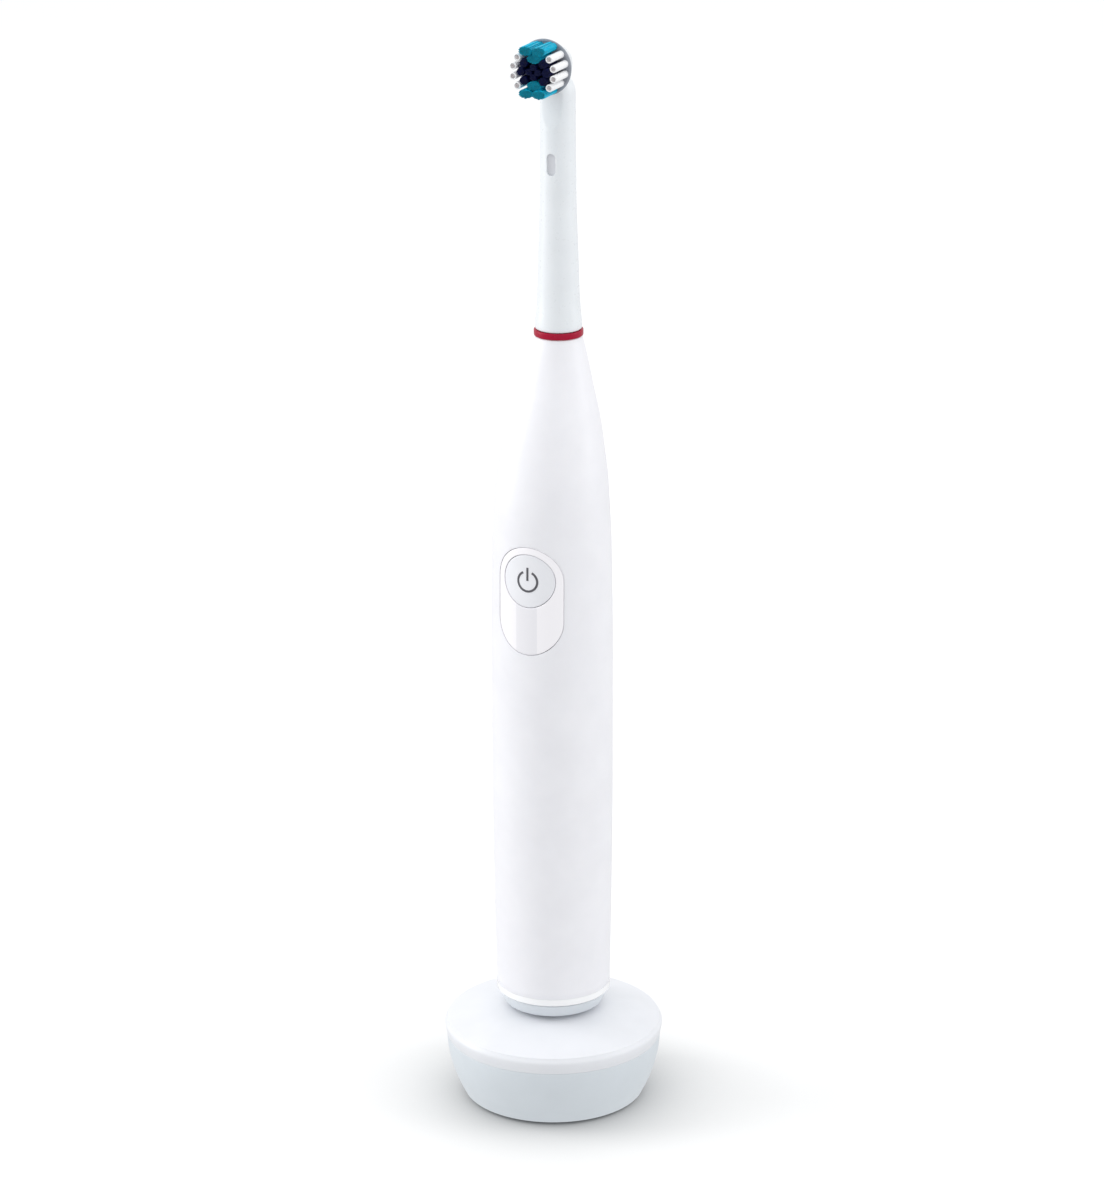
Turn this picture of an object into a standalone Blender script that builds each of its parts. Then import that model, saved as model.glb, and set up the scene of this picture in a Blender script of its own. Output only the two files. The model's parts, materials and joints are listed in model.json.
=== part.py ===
"""Electric toothbrush standing on its charging base.

Millimetres are used for every size below; MM turns them into metres.
+Z is up, the front of the toothbrush faces -Y, and the origin is the
centre of the charger's foot, on the surface it stands on.
"""
import math

import bmesh
import bpy
from mathutils import Matrix, Vector

MM = 0.001
GAP = 0.3                     # play left between pieces that touch

# Charger: a domed lid with a post, on a bowl
FOOT_R = 20.2
RIM_R = 25.3
RIM_EDGE = 0.25               # rounding of the crease round the lid
RIM_Z = 18.8                  # height of that crease
SEAM_Z = 15.2                 # where the lid meets the bowl
SEAM_R = 24.8
DOME_Z = 22.2                 # height of the lid at the foot of the post
POST_R = 4.7
POST_TOP_Z = 36.0
SHELL_WALL = 1.8
BOSS_RING_R = 13.0            # circle the lid's three screws stand on
BOSS_R = 2.3
BOWL_POWER = 0.85             # how soon the bowl's side turns upright
GLAND_Z = 8.6                 # height of the cord's inlet at the back
GLAND_R = 2.6

# Handle: a tapering tube whose nose leans to the back
HANDLE_Z = 23.2               # underside of the handle on the charger
CAP_Z = 26.1                  # where the bottom cap meets the shell
CAP_R = 11.45
NOSE_Z = 181.4
NOSE_R = 5.4
BODY_R = 13.75
HANDLE_WALL = 1.6
HANDLE_BORE_R = 11.5          # inside of the shell's foot
NOSE_BORE_R = 4.25
SOCKET_R = 5.3
SOCKET_TOP_Z = 37.6

# Panel and button on the front of the handle
PANEL_R = 7.9
PANEL_LOW_Z = 119.9           # centre of the lower round end
PANEL_HIGH_Z = 129.4          # centre of the upper round end
PANEL_DEPTH = 1.5
BUTTON_R = 6.1
BUTTON_Z = 129.4
BUTTON_BACK_Y = -11.6
PANEL_CUT_Y = (-20.0, -6.0)   # reach of the cutters through the handle's front

# Drive: motor, gear pair, rocker and shaft
NECK_Y = 4.2                  # the brush axis lies behind the handle's axis
MOTOR_Y = -2.0
GEAR_Y = 2.0
PINION_TEETH = 8
GEAR_TEETH = 24
PINION_PITCH_R = 1.0
GEAR_PITCH_R = 3.0
TOOTH_DEPTH = 0.22            # from the pitch circle to a tooth's tip or root
CRANK_THROW = 0.85            # offset of the gear's pin from its centre
SHAFT_R = 1.75
SHAFT_TOP_Z = 199.2
SHAFT_FLAT = 0.55             # depth of the flat at the shaft's top
CARRIER_R = 4.0

# Brush head
RING_Z = 181.7
RING_TOP_Z = 183.2
RING_R = 5.53
NECK_Z = 183.5
CROWN_Z = 238.0               # centre of the neck's round top
DISC_Z = 243.1                # centre of the bristle disc
DISC_R = 6.2
DISC_FRONT_Y = -2.8
DISC_BACK_Y = -0.9
PIVOT_R = 0.8
TUFT_LENGTH = 6.4
CRANK_DROP = 3.2              # link tip below the disc's centre
WHITE_ROW_R = 4.88            # circle the white tufts stand on
NAVY_ROW_R = 2.95
NAVY_CORE_R = 1.06
TEAL_OUTER = (1.62, 4.72)     # offsets of the two outer teal tufts of a group
TEAL_INNER_Z = 2.85

SIDES_CHARGER = 44
SIDES_HANDLE = 40
SIDES_NECK = 28
SIDES_INNER = 16


def clear_scene():
    for old in list(bpy.data.objects):
        bpy.data.objects.remove(old, do_unlink=True)


def material(name, colour, roughness=0.4, metallic=0.0):
    """One Principled material; colour is linear RGB."""
    made = bpy.data.materials.get(name) or bpy.data.materials.new(name)
    made.use_nodes = True
    shader = made.node_tree.nodes["Principled BSDF"]
    shader.inputs["Base Color"].default_value = (*colour, 1.0)
    shader.inputs["Roughness"].default_value = roughness
    shader.inputs["Metallic"].default_value = metallic
    made.diffuse_color = (*colour, 1.0)
    return made


def body_group(name, position, parent=None):
    """An empty on a joint's axis, parent of the pieces that move with it."""
    empty = bpy.data.objects.new(name, None)
    bpy.context.collection.objects.link(empty)
    empty.location = Vector(position) * MM
    if parent is not None:
        empty.parent = parent
        empty.matrix_parent_inverse = Matrix.Translation(-world_place(parent))
    return empty


def world_place(thing):
    """World position of an object or empty that is only translated."""
    place = Vector(thing.location)
    step = thing
    while step.parent is not None:
        place = step.matrix_parent_inverse @ place
        step = step.parent
        place = Vector(step.location) + place
    return place


def piece(name, mesh_data, look, group=None, angle=35.0):
    """Put a bmesh given in millimetres into the scene as one named object."""
    bmesh.ops.scale(mesh_data, vec=(MM, MM, MM), verts=mesh_data.verts)
    bmesh.ops.recalc_face_normals(mesh_data, faces=mesh_data.faces)
    mesh = bpy.data.meshes.new(name)
    origin = world_place(group) if group is not None else Vector((0, 0, 0))
    bmesh.ops.translate(mesh_data, vec=-origin, verts=mesh_data.verts)
    mesh_data.to_mesh(mesh)
    mesh_data.free()
    mesh.shade_smooth()
    mesh.set_sharp_from_angle(angle=math.radians(angle))
    made = bpy.data.objects.new(name, mesh)
    bpy.context.collection.objects.link(made)
    made.location = origin
    if look is not None:
        mesh.materials.append(look)
    if group is not None:
        made.parent = group
        made.matrix_parent_inverse = Matrix.Translation(-origin)
    return made


def guide(name, mesh_data):
    """A cutter or an added shape, which is left out of the object itself."""
    made = piece(name, mesh_data, None)
    made.hide_render = True
    made.display_type = "WIRE"
    return made


def combine(target, tool, operation):
    change = target.modifiers.new(operation.title() + " " + tool.name, "BOOLEAN")
    change.operation = operation
    change.solver = "EXACT"
    change.object = tool


def cut(target, name, mesh_data):
    combine(target, guide(name, mesh_data), "DIFFERENCE")


def add(target, name, mesh_data):
    combine(target, guide(name, mesh_data), "UNION")


def turned(outline, sides, centre=(0.0, 0.0), back=None):
    """Turn a closed (radius, height) outline round a vertical axis.

    back(z) moves each ring towards +Y, which lets the axis lean.
    """
    data = bmesh.new()
    rings = []
    for radius, height in outline:
        shift = back(height) if back else 0.0
        if radius == 0.0:
            rings.append([data.verts.new((centre[0], centre[1] + shift, height))])
            continue
        ring = []
        for step in range(sides):
            turn = 2 * math.pi * step / sides
            x = centre[0] + radius * math.sin(turn)
            y = centre[1] + shift - radius * math.cos(turn)
            ring.append(data.verts.new((x, y, height)))
        rings.append(ring)
    for index, ring in enumerate(rings):
        following = rings[(index + 1) % len(rings)]
        if len(ring) == 1 and len(following) == 1:
            continue
        for step in range(sides):
            onward = (step + 1) % sides
            if len(ring) == 1:
                data.faces.new((ring[0], following[step], following[onward]))
            elif len(following) == 1:
                data.faces.new((ring[step], following[0], ring[onward]))
            else:
                data.faces.new((ring[step], following[step],
                                following[onward], ring[onward]))
    return data


def turned_forward(outline, sides, centre_z):
    """Turn a closed (radius, y) outline round an axis that runs along Y."""
    data = turned(outline, sides)
    lay = Matrix(((1, 0, 0, 0), (0, 0, 1, 0), (0, -1, 0, centre_z), (0, 0, 0, 1)))
    bmesh.ops.transform(data, matrix=lay, verts=data.verts)
    return data


def rod(radius, low, high, sides=SIDES_INNER, centre=(0.0, 0.0)):
    return turned([(0.0, high), (radius, high), (radius, low), (0.0, low)], sides, centre)


def tube(inner, outer, low, high, sides=SIDES_INNER, centre=(0.0, 0.0)):
    outline = [(outer, high), (outer, low), (inner, low), (inner, high)]
    return turned(outline, sides, centre)


def rod_forward(radius, front, back, centre_z, sides=SIDES_INNER):
    """A round bar along Y from y = front to y = back."""
    outline = [(0.0, back), (radius, back), (radius, front), (0.0, front)]
    return turned_forward(outline, sides, centre_z)


def block(size, centre):
    data = bmesh.new()
    bmesh.ops.create_cube(data, size=1.0)
    bmesh.ops.scale(data, vec=size, verts=data.verts)
    bmesh.ops.translate(data, vec=centre, verts=data.verts)
    return data


def extruded(points, low, high):
    """Extrude a closed XY outline upwards."""
    data = bmesh.new()
    below = [data.verts.new((x, y, low)) for x, y in points]
    above = [data.verts.new((x, y, high)) for x, y in points]
    data.faces.new(list(reversed(below)))
    data.faces.new(above)
    for index in range(len(points)):
        onward = (index + 1) % len(points)
        data.faces.new((below[index], below[onward], above[onward], above[index]))
    return data


def extruded_forward(points, front, back):
    """Extrude a closed XZ outline along Y."""
    data = extruded(points, front, back)
    lay = Matrix(((1, 0, 0, 0), (0, 0, 1, 0), (0, 1, 0, 0), (0, 0, 0, 1)))
    bmesh.ops.transform(data, matrix=lay, verts=data.verts)
    return data


def extruded_sideways(points, half_width):
    """Extrude a closed YZ outline along X."""
    data = extruded(points, -half_width, half_width)
    lay = Matrix(((0, 0, 1, 0), (1, 0, 0, 0), (0, 1, 0, 0), (0, 0, 0, 1)))
    bmesh.ops.transform(data, matrix=lay, verts=data.verts)
    return data


def joined(parts):
    """Put several meshes into one, for cutters whose shapes lie apart."""
    whole = bmesh.new()
    for data in parts:
        mesh = bpy.data.meshes.new("joined")
        data.to_mesh(mesh)
        data.free()
        whole.from_mesh(mesh)
        bpy.data.meshes.remove(mesh)
    return whole


def arc(centre, radius, start, end, steps):
    """Points on an arc; angles in degrees, from +first axis to +second."""
    points = []
    for step in range(steps + 1):
        turn = math.radians(start + (end - start) * step / steps)
        points.append((centre[0] + radius * math.cos(turn),
                       centre[1] + radius * math.sin(turn)))
    return points


def stadium(radius, low, high, steps):
    """Outline with two round ends, one above the other."""
    upper = arc((0.0, high), radius, 0, 180, steps)
    lower = arc((0.0, low), radius, 180, 360, steps)
    return upper + lower


def smooth_between(stations, place):
    """Monotone cubic through (place, value) stations, rising in place."""
    for index in range(len(stations) - 1):
        low, high = stations[index], stations[index + 1]
        if place <= high[0]:
            break
    span = high[0] - low[0]
    share = min(max((place - low[0]) / span, 0.0), 1.0)

    def slope(at):
        if at == 0 or at == len(stations) - 1:
            return 0.0 if at == 0 else rise(at - 1)
        before, after = rise(at - 1), rise(at)
        if before * after <= 0:
            return 0.0
        return 2 * before * after / (before + after)

    def rise(at):
        return ((stations[at + 1][1] - stations[at][1])
                / (stations[at + 1][0] - stations[at][0]))

    first, last = slope(index) * span, slope(index + 1) * span
    square, cube = share ** 2, share ** 3
    return ((2 * cube - 3 * square + 1) * low[1] + (cube - 2 * square + share) * first
            + (3 * square - 2 * cube) * high[1] + (cube - square) * last)


# Outer radius of the handle, and how far its axis leans back, by height
HANDLE_RADII = [(CAP_Z, 13.1), (48.0, 13.45), (80.0, BODY_R), (110.0, BODY_R),
                (133.0, 13.5), (148.0, 12.75), (160.5, 10.9), (172.5, 7.75),
                (NOSE_Z, NOSE_R)]
HANDLE_LEAN = [(CAP_Z, 0.0), (141.0, 0.0), (154.5, 0.6), (166.5, 2.2),
               (176.0, 3.7), (NOSE_Z, NECK_Y)]
NECK_RADII = [(NECK_Z, 5.25), (190.0, 4.78), (201.0, 4.42), (213.0, 4.05),
              (230.0, 3.92), (CROWN_Z, 3.9)]


def handle_radius(height):
    return smooth_between(HANDLE_RADII, height)


def handle_lean(height):
    return smooth_between(HANDLE_LEAN, height)


def neck_radius(height):
    return smooth_between(NECK_RADII, height)


def charger(group):
    white = material("charger white plastic", (0.86, 0.87, 0.89), 0.32)
    grey = material("charger lower plastic", (0.74, 0.76, 0.79), 0.36)
    build_charger_top(group, white)
    build_charger_lower(group, grey)
    build_charger_inside(group)


def build_charger_top(group, look):
    """Domed lid, its skirt and the hollow post, with three screw bosses."""
    rim_inner = RIM_R - SHELL_WALL
    edge_r = RIM_R - RIM_EDGE
    outer = [(SEAM_R, SEAM_Z + GAP), (RIM_R, RIM_Z - 2 * RIM_EDGE), (edge_r, RIM_Z)]
    for step in range(1, 4):
        share = step / 4
        radius = edge_r - (edge_r - POST_R - 2.0) * share
        rise = DOME_Z - RIM_Z
        outer.append((radius, RIM_Z + rise * (1 - (1 - share) ** 2)))
    outer += [(POST_R + 0.9, DOME_Z), (POST_R, DOME_Z + 0.9),
              (POST_R - 0.4, POST_TOP_Z - 1.4), (POST_R - 1.6, POST_TOP_Z),
              (0.0, POST_TOP_Z)]
    inner = [(0.0, POST_TOP_Z - 1.6), (POST_R - 1.7, POST_TOP_Z - 1.6),
             (POST_R - 1.3, DOME_Z - SHELL_WALL - 0.2),
             (14.0, DOME_Z - SHELL_WALL - 0.9), (rim_inner - 1.0, RIM_Z - SHELL_WALL),
             (SEAM_R - SHELL_WALL, SEAM_Z + GAP)]
    lid = piece("charger_top_shell", turned(outer + inner, SIDES_CHARGER), look, group)
    for number in range(3):
        add(lid, "boss_%d" % (number + 1),
            tube(0.9, BOSS_R, 4.2, 19.5, 12, boss_place(number)))


def boss_place(number):
    """The three screws stand on one circle, the first at the front."""
    turn = 2 * math.pi * number / 3
    return (BOSS_RING_R * math.sin(turn), -BOSS_RING_R * math.cos(turn))


def bowl_radius(height):
    """Outer radius of the bowl, which rounds in towards its foot."""
    share = height / SEAM_Z
    return FOOT_R + (SEAM_R - FOOT_R) * math.sin(share * math.pi / 2) ** BOWL_POWER


def build_charger_lower(group, look):
    """Bowl under the lid, open below, with a hole for the cord's gland."""
    heights = [0.5, 2.6, 5.6, 9.0]
    outer = [(SEAM_R, SEAM_Z), *[(bowl_radius(h), h) for h in reversed(heights)]]
    inner = [(FOOT_R - 1.5, 0.5), (FOOT_R - 1.0, 3.4), (FOOT_R + 1.0, 7.0),
             (SEAM_R - 2.0, SEAM_Z)]
    bowl = piece("charger_lower_shell", turned(outer + inner, SIDES_CHARGER), look, group)
    cut(bowl, "gland_hole", rod_forward(GLAND_R + GAP, 16.0, 28.0, GLAND_Z, 16))


def build_charger_inside(group):
    rubber = material("dark rubber", (0.035, 0.035, 0.04), 0.75)
    plate = material("base plate plastic", (0.70, 0.72, 0.75), 0.5)
    steel = material("zinc plated steel", (0.62, 0.62, 0.60), 0.35, 1.0)
    copper = material("enamelled copper", (0.55, 0.22, 0.09), 0.35, 1.0)
    ferrite = material("ferrite", (0.05, 0.05, 0.055), 0.6)
    nylon = material("natural nylon", (0.75, 0.73, 0.66), 0.5)
    board = material("green board", (0.02, 0.16, 0.07), 0.45)
    can = material("capacitor sleeve", (0.03, 0.05, 0.13), 0.4)

    piece("foot_ring", tube(16.8, FOOT_R - 1.8, 0.0, 1.0, 28), rubber, group)
    base = piece("charger_base_plate", rod(FOOT_R - 1.9, 1.4, 2.9, 32), plate, group)
    for number in range(3):
        place = boss_place(number)
        cut(base, "screw_hole_%d" % (number + 1), rod(1.1, 0.5, 4.0, 12, place))
        cut(base, "screw_seat_%d" % (number + 1), rod(2.1, 0.5, 2.0, 12, place))
        shank = [(0.0, 12.0), (0.6, 11.4), (0.6, 1.7), (1.8, 1.7), (1.8, 1.2),
                 (1.3, 0.8), (0.0, 0.8)]
        piece("charger_screw_%d" % (number + 1), turned(shank, 12, place), steel, group)

    spool = [(7.2, 18.6), (7.2, 17.9), (3.9, 17.9), (3.9, 9.2), (7.2, 9.2),
             (7.2, 8.5), (3.1, 8.5), (3.1, 18.6)]
    piece("primary_bobbin", turned(spool, 16), nylon, group)
    piece("primary_coil", tube(4.2, 6.9, 9.5, 17.6, 16), copper, group)
    core = [(0.0, 33.6), (2.5, 33.6), (2.5, 8.0), (6.8, 8.0), (6.8, 6.6), (0.0, 6.6)]
    piece("primary_core", turned(core, 16), ferrite, group)

    wide = piece("charger_circuit_board", rod(16.0, 4.9, 6.0, 28), board, group)
    for number in range(3):
        cut(wide, "boss_clearance_%d" % (number + 1),
            rod(BOSS_R + 0.5, 4.0, 7.0, 12, boss_place(number)))
    piece("charger_capacitor", rod(2.6, 6.3, 14.5, 14, (-12.6, 1.5)), can, group)
    piece("charger_rectifier", block((5.0, 3.2, 2.4), (12.6, 1.5, 7.5)), ferrite, group)

    collar = [(2.0, 24.7), (GLAND_R, 24.0), (GLAND_R, 18.2), (3.4, 18.2), (3.4, 16.4),
              (1.6, 16.4), (1.6, 24.7)]
    piece("cord_gland", turned_forward(collar, 14, GLAND_Z), rubber, group)


def handle(group):
    white = material("handle white plastic", (0.88, 0.90, 0.92), 0.28)
    build_handle_shell(group, white)
    build_panel(group)
    build_bottom(group)
    build_handle_inside(group)
    build_gear_frame(group)


def handle_wall_outline():
    """Outer side from the nose down, then inner side back up."""
    heights = [NOSE_Z, 177.5, 172.5, 167.5, 162.5, 157.0, 151.0, 145.0, 137.0,
               120.0, 80.0, 48.0, CAP_Z + GAP + 0.5]
    outer = [(handle_radius(height), height) for height in heights]
    outer.append((handle_radius(CAP_Z) - 0.4, CAP_Z + GAP))
    inner = [(HANDLE_BORE_R, CAP_Z + GAP)]
    for height in [80.0, 137.0, 151.0, 162.5, 174.0]:
        inner.append((handle_radius(height) - HANDLE_WALL, height))
    inner.append((NOSE_BORE_R, NOSE_Z))
    return outer + inner


def build_handle_shell(group, look):
    shell = piece("handle_shell", turned(handle_wall_outline(), SIDES_HANDLE, back=handle_lean),
                  look, group)
    opening = stadium(PANEL_R, PANEL_LOW_Z, PANEL_HIGH_Z, 14)
    cut(shell, "panel_opening", extruded_forward(opening, *PANEL_CUT_Y))


def front_skin(depth, low, high):
    """Part of the handle's wall as a sleeve, to be trimmed to a panel."""
    heights = [high, 0.5 * (low + high), low]
    outer = [(handle_radius(height), height) for height in heights]
    inner = [(handle_radius(height) - depth, height) for height in reversed(heights)]
    return turned(outer + inner, 2 * SIDES_HANDLE)


def build_panel(group):
    gloss = material("glossy panel", (0.93, 0.93, 0.95), 0.12)
    low, high = PANEL_LOW_Z - PANEL_R - 2, PANEL_HIGH_Z + PANEL_R + 2
    panel = piece("control_panel", front_skin(PANEL_DEPTH, low, high), gloss, group)
    trim = stadium(PANEL_R - GAP / 2, PANEL_LOW_Z, PANEL_HIGH_Z, 14)
    combine(panel, guide("panel_trim", extruded_forward(trim, *PANEL_CUT_Y)), "INTERSECT")
    cut(panel, "button_opening", rod_forward(BUTTON_R + GAP / 2, *PANEL_CUT_Y, BUTTON_Z, 32))


def button(group):
    """Round button that fills its hole in the panel, with a stem behind."""
    look = material("button plastic", (0.83, 0.84, 0.87), 0.35)
    low, high = BUTTON_Z - BUTTON_R - 2, BUTTON_Z + BUTTON_R + 2
    heights = [high, 0.5 * (low + high), low]
    outline = [(handle_radius(height), height) for height in heights]
    solid = [(0.0, high), *outline, (0.0, low)]
    cap = piece("power_button", turned(solid, 2 * SIDES_HANDLE), look, group)
    trim = rod_forward(BUTTON_R, PANEL_CUT_Y[0], BUTTON_BACK_Y, BUTTON_Z, 32)
    combine(cap, guide("button_trim", trim), "INTERSECT")
    add(cap, "button_stem", rod_forward(1.4, BUTTON_BACK_Y - 1.0, -11.0, BUTTON_Z, 12))


def build_bottom(group):
    cap_look = material("bottom cap plastic", (0.72, 0.75, 0.78), 0.4)
    rubber = material("seal rubber", (0.06, 0.06, 0.07), 0.7)
    rim_r = handle_radius(CAP_Z) - 0.3
    outline = [
        (0.0, SOCKET_TOP_Z + 1.2), (SOCKET_R + 1.2, SOCKET_TOP_Z + 1.2),
        (SOCKET_R + 1.2, CAP_Z - 0.2), (9.9, CAP_Z - 0.2), (9.9, 32.0), (11.2, 32.0),
        (11.2, 30.7), (10.4, 30.7), (10.4, 28.9), (11.2, 28.9), (11.2, CAP_Z),
        (rim_r, CAP_Z), (rim_r, CAP_Z - 0.3),
        (CAP_R, HANDLE_Z), (SOCKET_R + 0.5, HANDLE_Z), (SOCKET_R, HANDLE_Z + 0.5),
        (SOCKET_R, SOCKET_TOP_Z), (0.0, SOCKET_TOP_Z)]
    piece("bottom_cap", turned(outline, 32), cap_look, group)
    piece("bottom_seal", tube(10.7, 11.15, 29.2, 30.4, 24), rubber, group)


def build_handle_inside(group):
    nylon = material("natural nylon", (0.75, 0.73, 0.66), 0.5)
    copper = material("enamelled copper", (0.55, 0.22, 0.09), 0.35, 1.0)
    frame = material("grey chassis plastic", (0.30, 0.31, 0.33), 0.55)
    wrap = material("cell sleeve", (0.05, 0.22, 0.11), 0.4)
    nickel = material("nickel strip", (0.66, 0.64, 0.60), 0.3, 1.0)
    board = material("green board", (0.02, 0.16, 0.07), 0.45)
    black = material("black component", (0.03, 0.03, 0.035), 0.5)
    steel = material("motor steel", (0.56, 0.56, 0.55), 0.3, 1.0)
    lamp = material("clear lamp", (0.70, 0.85, 0.74), 0.15)

    spool = [(9.5, 37.2), (9.5, 36.6), (7.5, 36.6), (7.5, 28.2), (9.5, 28.2), (9.5, 27.6),
             (6.8, 27.6), (6.8, 37.2)]
    piece("secondary_bobbin", turned(spool, 18), nylon, group)
    piece("secondary_coil", tube(7.8, 9.3, 28.5, 36.3, 18), copper, group)

    wall = arc((0.0, 0.0), 11.2, -8, 188, 16) + arc((0.0, 0.0), 10.1, 188, -8, 16)
    piece("inner_chassis", extruded(wall, 41.0, 127.0), frame, group)
    cell_place = (0.0, 1.5)
    cell = [(0.0, 97.0), (2.6, 97.0), (2.6, 96.0), (7.1, 96.0), (7.1, 47.0), (0.0, 47.0)]
    piece("battery_cell", turned(cell, 18, cell_place), wrap, group)
    piece("battery_contact_top", block((4.0, 9.0, 0.4), (0.0, -0.5, 97.5)), nickel, group)
    piece("battery_contact_bottom", block((4.0, 9.0, 0.4), (0.0, -0.5, 46.5)), nickel, group)

    board_y = -9.2
    piece("circuit_board", block((12.0, 0.8, 78.0), (0.0, board_y, 99.0)), board, group)
    switch = piece("tact_switch", block((6.0, 0.6, 6.0), (0.0, -10.2, BUTTON_Z)), black, group)
    add(switch, "switch_plunger", rod_forward(1.2, -10.6, -10.2, BUTTON_Z, 12))
    piece("charge_lamp", block((1.6, 0.8, 3.0), (0.0, -10.3, 117.0)), lamp, group)
    piece("controller_chip", block((5.0, 1.0, 5.0), (0.0, -10.4, 100.0)), black, group)

    motor = [(0.0, 118.0), (0.9, 118.0), (0.9, 128.0), (2.0, 128.0), (2.0, 127.0),
             (6.5, 127.0), (6.5, 104.0), (0.0, 104.0)]
    piece("motor_can", turned(motor, 18, (0.0, MOTOR_Y)), steel, group)
    piece("motor_end_cap", rod(6.2, 101.6, 103.7, 20, (0.0, MOTOR_Y)), nylon, group)


def build_gear_frame(group):
    """Two plates on posts, which carry the gear's axle and the shaft."""
    look = material("gear frame plastic", (0.68, 0.69, 0.70), 0.5)
    steel = material("ground steel", (0.60, 0.60, 0.60), 0.22, 1.0)
    brass = material("sintered bronze", (0.48, 0.33, 0.14), 0.4, 1.0)
    rubber = material("seal rubber", (0.06, 0.06, 0.07), 0.7)
    frame = piece("gear_frame", rod(8.4, 129.0, 130.4, 28, (0.0, 0.6)), look, group)
    for side in (-1, 1):
        add(frame, "post_%s" % ("left" if side < 0 else "right"),
            block((1.6, 4.0, 11.4), (side * 6.6, 2.0, 135.8)))
    add(frame, "upper_plate", rod(7.9, 140.6, 142.2, 28, (0.0, 1.2)))
    cut(frame, "pinion_hole", rod(1.7, 128.0, 131.5, 14, (0.0, MOTOR_Y)))
    cut(frame, "axle_hole", rod(1.0, 129.6, 131.5, 12, (0.0, GEAR_Y)))
    cut(frame, "shaft_hole", rod(SHAFT_R + GAP, 139.5, 143.5, 16, (0.0, NECK_Y)))
    piece("gear_axle", rod(0.7, 129.9, 133.5, 12, (0.0, GEAR_Y)), steel, group)
    piece("shaft_carrier", tube(2.6, CARRIER_R, 142.6, 167.6, 16, (0.0, NECK_Y)), look, group)
    piece("shaft_bush", tube(SHAFT_R + GAP, CARRIER_R - 0.1, 168.0, 176.6, 16,
                              (0.0, NECK_Y)), brass, group)
    piece("shaft_seal", tube(SHAFT_R + GAP, CARRIER_R - 0.15, 177.0, 180.9, 16,
                              (0.0, NECK_Y)), rubber, group)


def gear_outline(teeth, pitch_r, phase):
    """Narrow-topped teeth, four points each; phase is in tooth pitches."""
    points = []
    root, tip = pitch_r - TOOTH_DEPTH, pitch_r + TOOTH_DEPTH
    for tooth in range(teeth):
        for share, radius in ((-0.26, root), (-0.10, tip), (0.10, tip), (0.26, root)):
            turn = 2 * math.pi * (tooth + share + phase) / teeth
            points.append((radius * math.sin(turn), radius * math.cos(turn)))
    return points


def rotor(group):
    """Motor shaft with its pinion, one moving piece each."""
    steel = material("ground steel", (0.60, 0.60, 0.60), 0.22, 1.0)
    nylon = material("white acetal", (0.80, 0.80, 0.78), 0.4)
    piece("motor_shaft", rod(0.5, 118.3, 135.2, 12, (0.0, MOTOR_Y)), steel, group)
    teeth = gear_outline(PINION_TEETH, PINION_PITCH_R, 0.0)
    pinion = extruded([(x, y + MOTOR_Y) for x, y in teeth], 132.0, 135.0)
    wheel = piece("motor_pinion", pinion, nylon, group, 20)
    cut(wheel, "pinion_bore", rod(0.66, 131.0, 136.0, 12, (0.0, MOTOR_Y)))


def gear(group):
    """Gear with an eccentric pin on top; half a pitch off the pinion."""
    nylon = material("grey acetal", (0.55, 0.56, 0.58), 0.4)
    teeth = gear_outline(GEAR_TEETH, GEAR_PITCH_R, 0.5)
    wheel = piece("eccentric_gear", extruded([(x, y + GEAR_Y) for x, y in teeth], 132.2, 134.8),
                  nylon, group, 20)
    cut(wheel, "gear_bore", rod(1.0, 131.0, 133.8, 12, (0.0, GEAR_Y)))
    add(wheel, "eccentric_pin", rod(0.45, 134.4, 135.7, 12, (0.0, GEAR_Y - CRANK_THROW)))


def shaft(group):
    """Drive shaft with a flat at its top, and the rocker that swings it."""
    steel = material("drive shaft steel", (0.66, 0.66, 0.66), 0.2, 1.0)
    nylon = material("grey acetal", (0.55, 0.56, 0.58), 0.4)
    outline = [(0.0, SHAFT_TOP_Z), (SHAFT_R - 0.4, SHAFT_TOP_Z), (SHAFT_R, SHAFT_TOP_Z - 0.5),
               (SHAFT_R, 135.9), (0.0, 135.9)]
    bar = piece("drive_shaft", turned(outline, 20, (0.0, NECK_Y)), steel, group)
    flat_y = NECK_Y - SHAFT_R + SHAFT_FLAT
    cut(bar, "shaft_flat", block((5.0, 2.0, 14.0), (0.0, flat_y - 1.0, 194.0)))
    arm = [(-1.5, NECK_Y - 1.6), (-1.5, 0.2), (-0.75, 0.2), (-0.75, 1.9), (0.75, 1.9),
           (0.75, 0.2), (1.5, 0.2), (1.5, NECK_Y - 1.6)]
    rocker = piece("rocker_arm", extruded(arm, 136.0, 138.2), nylon, group)
    add(rocker, "rocker_hub", rod(3.0, 136.0, 139.6, 18, (0.0, NECK_Y)))
    cut(rocker, "rocker_bore", rod(SHAFT_R + 0.25, 135.0, 141.0, 18, (0.0, NECK_Y)))


def brush_head(group):
    white = material("brush neck plastic", (0.88, 0.90, 0.92), 0.25)
    red = material("crimson ring", (0.42, 0.004, 0.035), 0.3)
    steel = material("ground steel", (0.60, 0.60, 0.60), 0.22, 1.0)
    nylon = material("white acetal", (0.80, 0.80, 0.78), 0.4)
    build_neck(group, white)
    ring = tube(3.5, RING_R, RING_Z, RING_TOP_Z, SIDES_NECK, (0.0, NECK_Y))
    piece("colour_ring", ring, red, group)
    guide_ring = [(3.2, 189.4), (3.2, RING_Z + 0.3), (2.05, RING_Z + 0.3), (2.05, 189.4)]
    piece("neck_insert", turned(guide_ring, 20, (0.0, NECK_Y)), nylon, group)
    piece("pivot_pin", rod_forward(PIVOT_R, -0.4, 5.9, DISC_Z, 14), steel, group)


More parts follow.
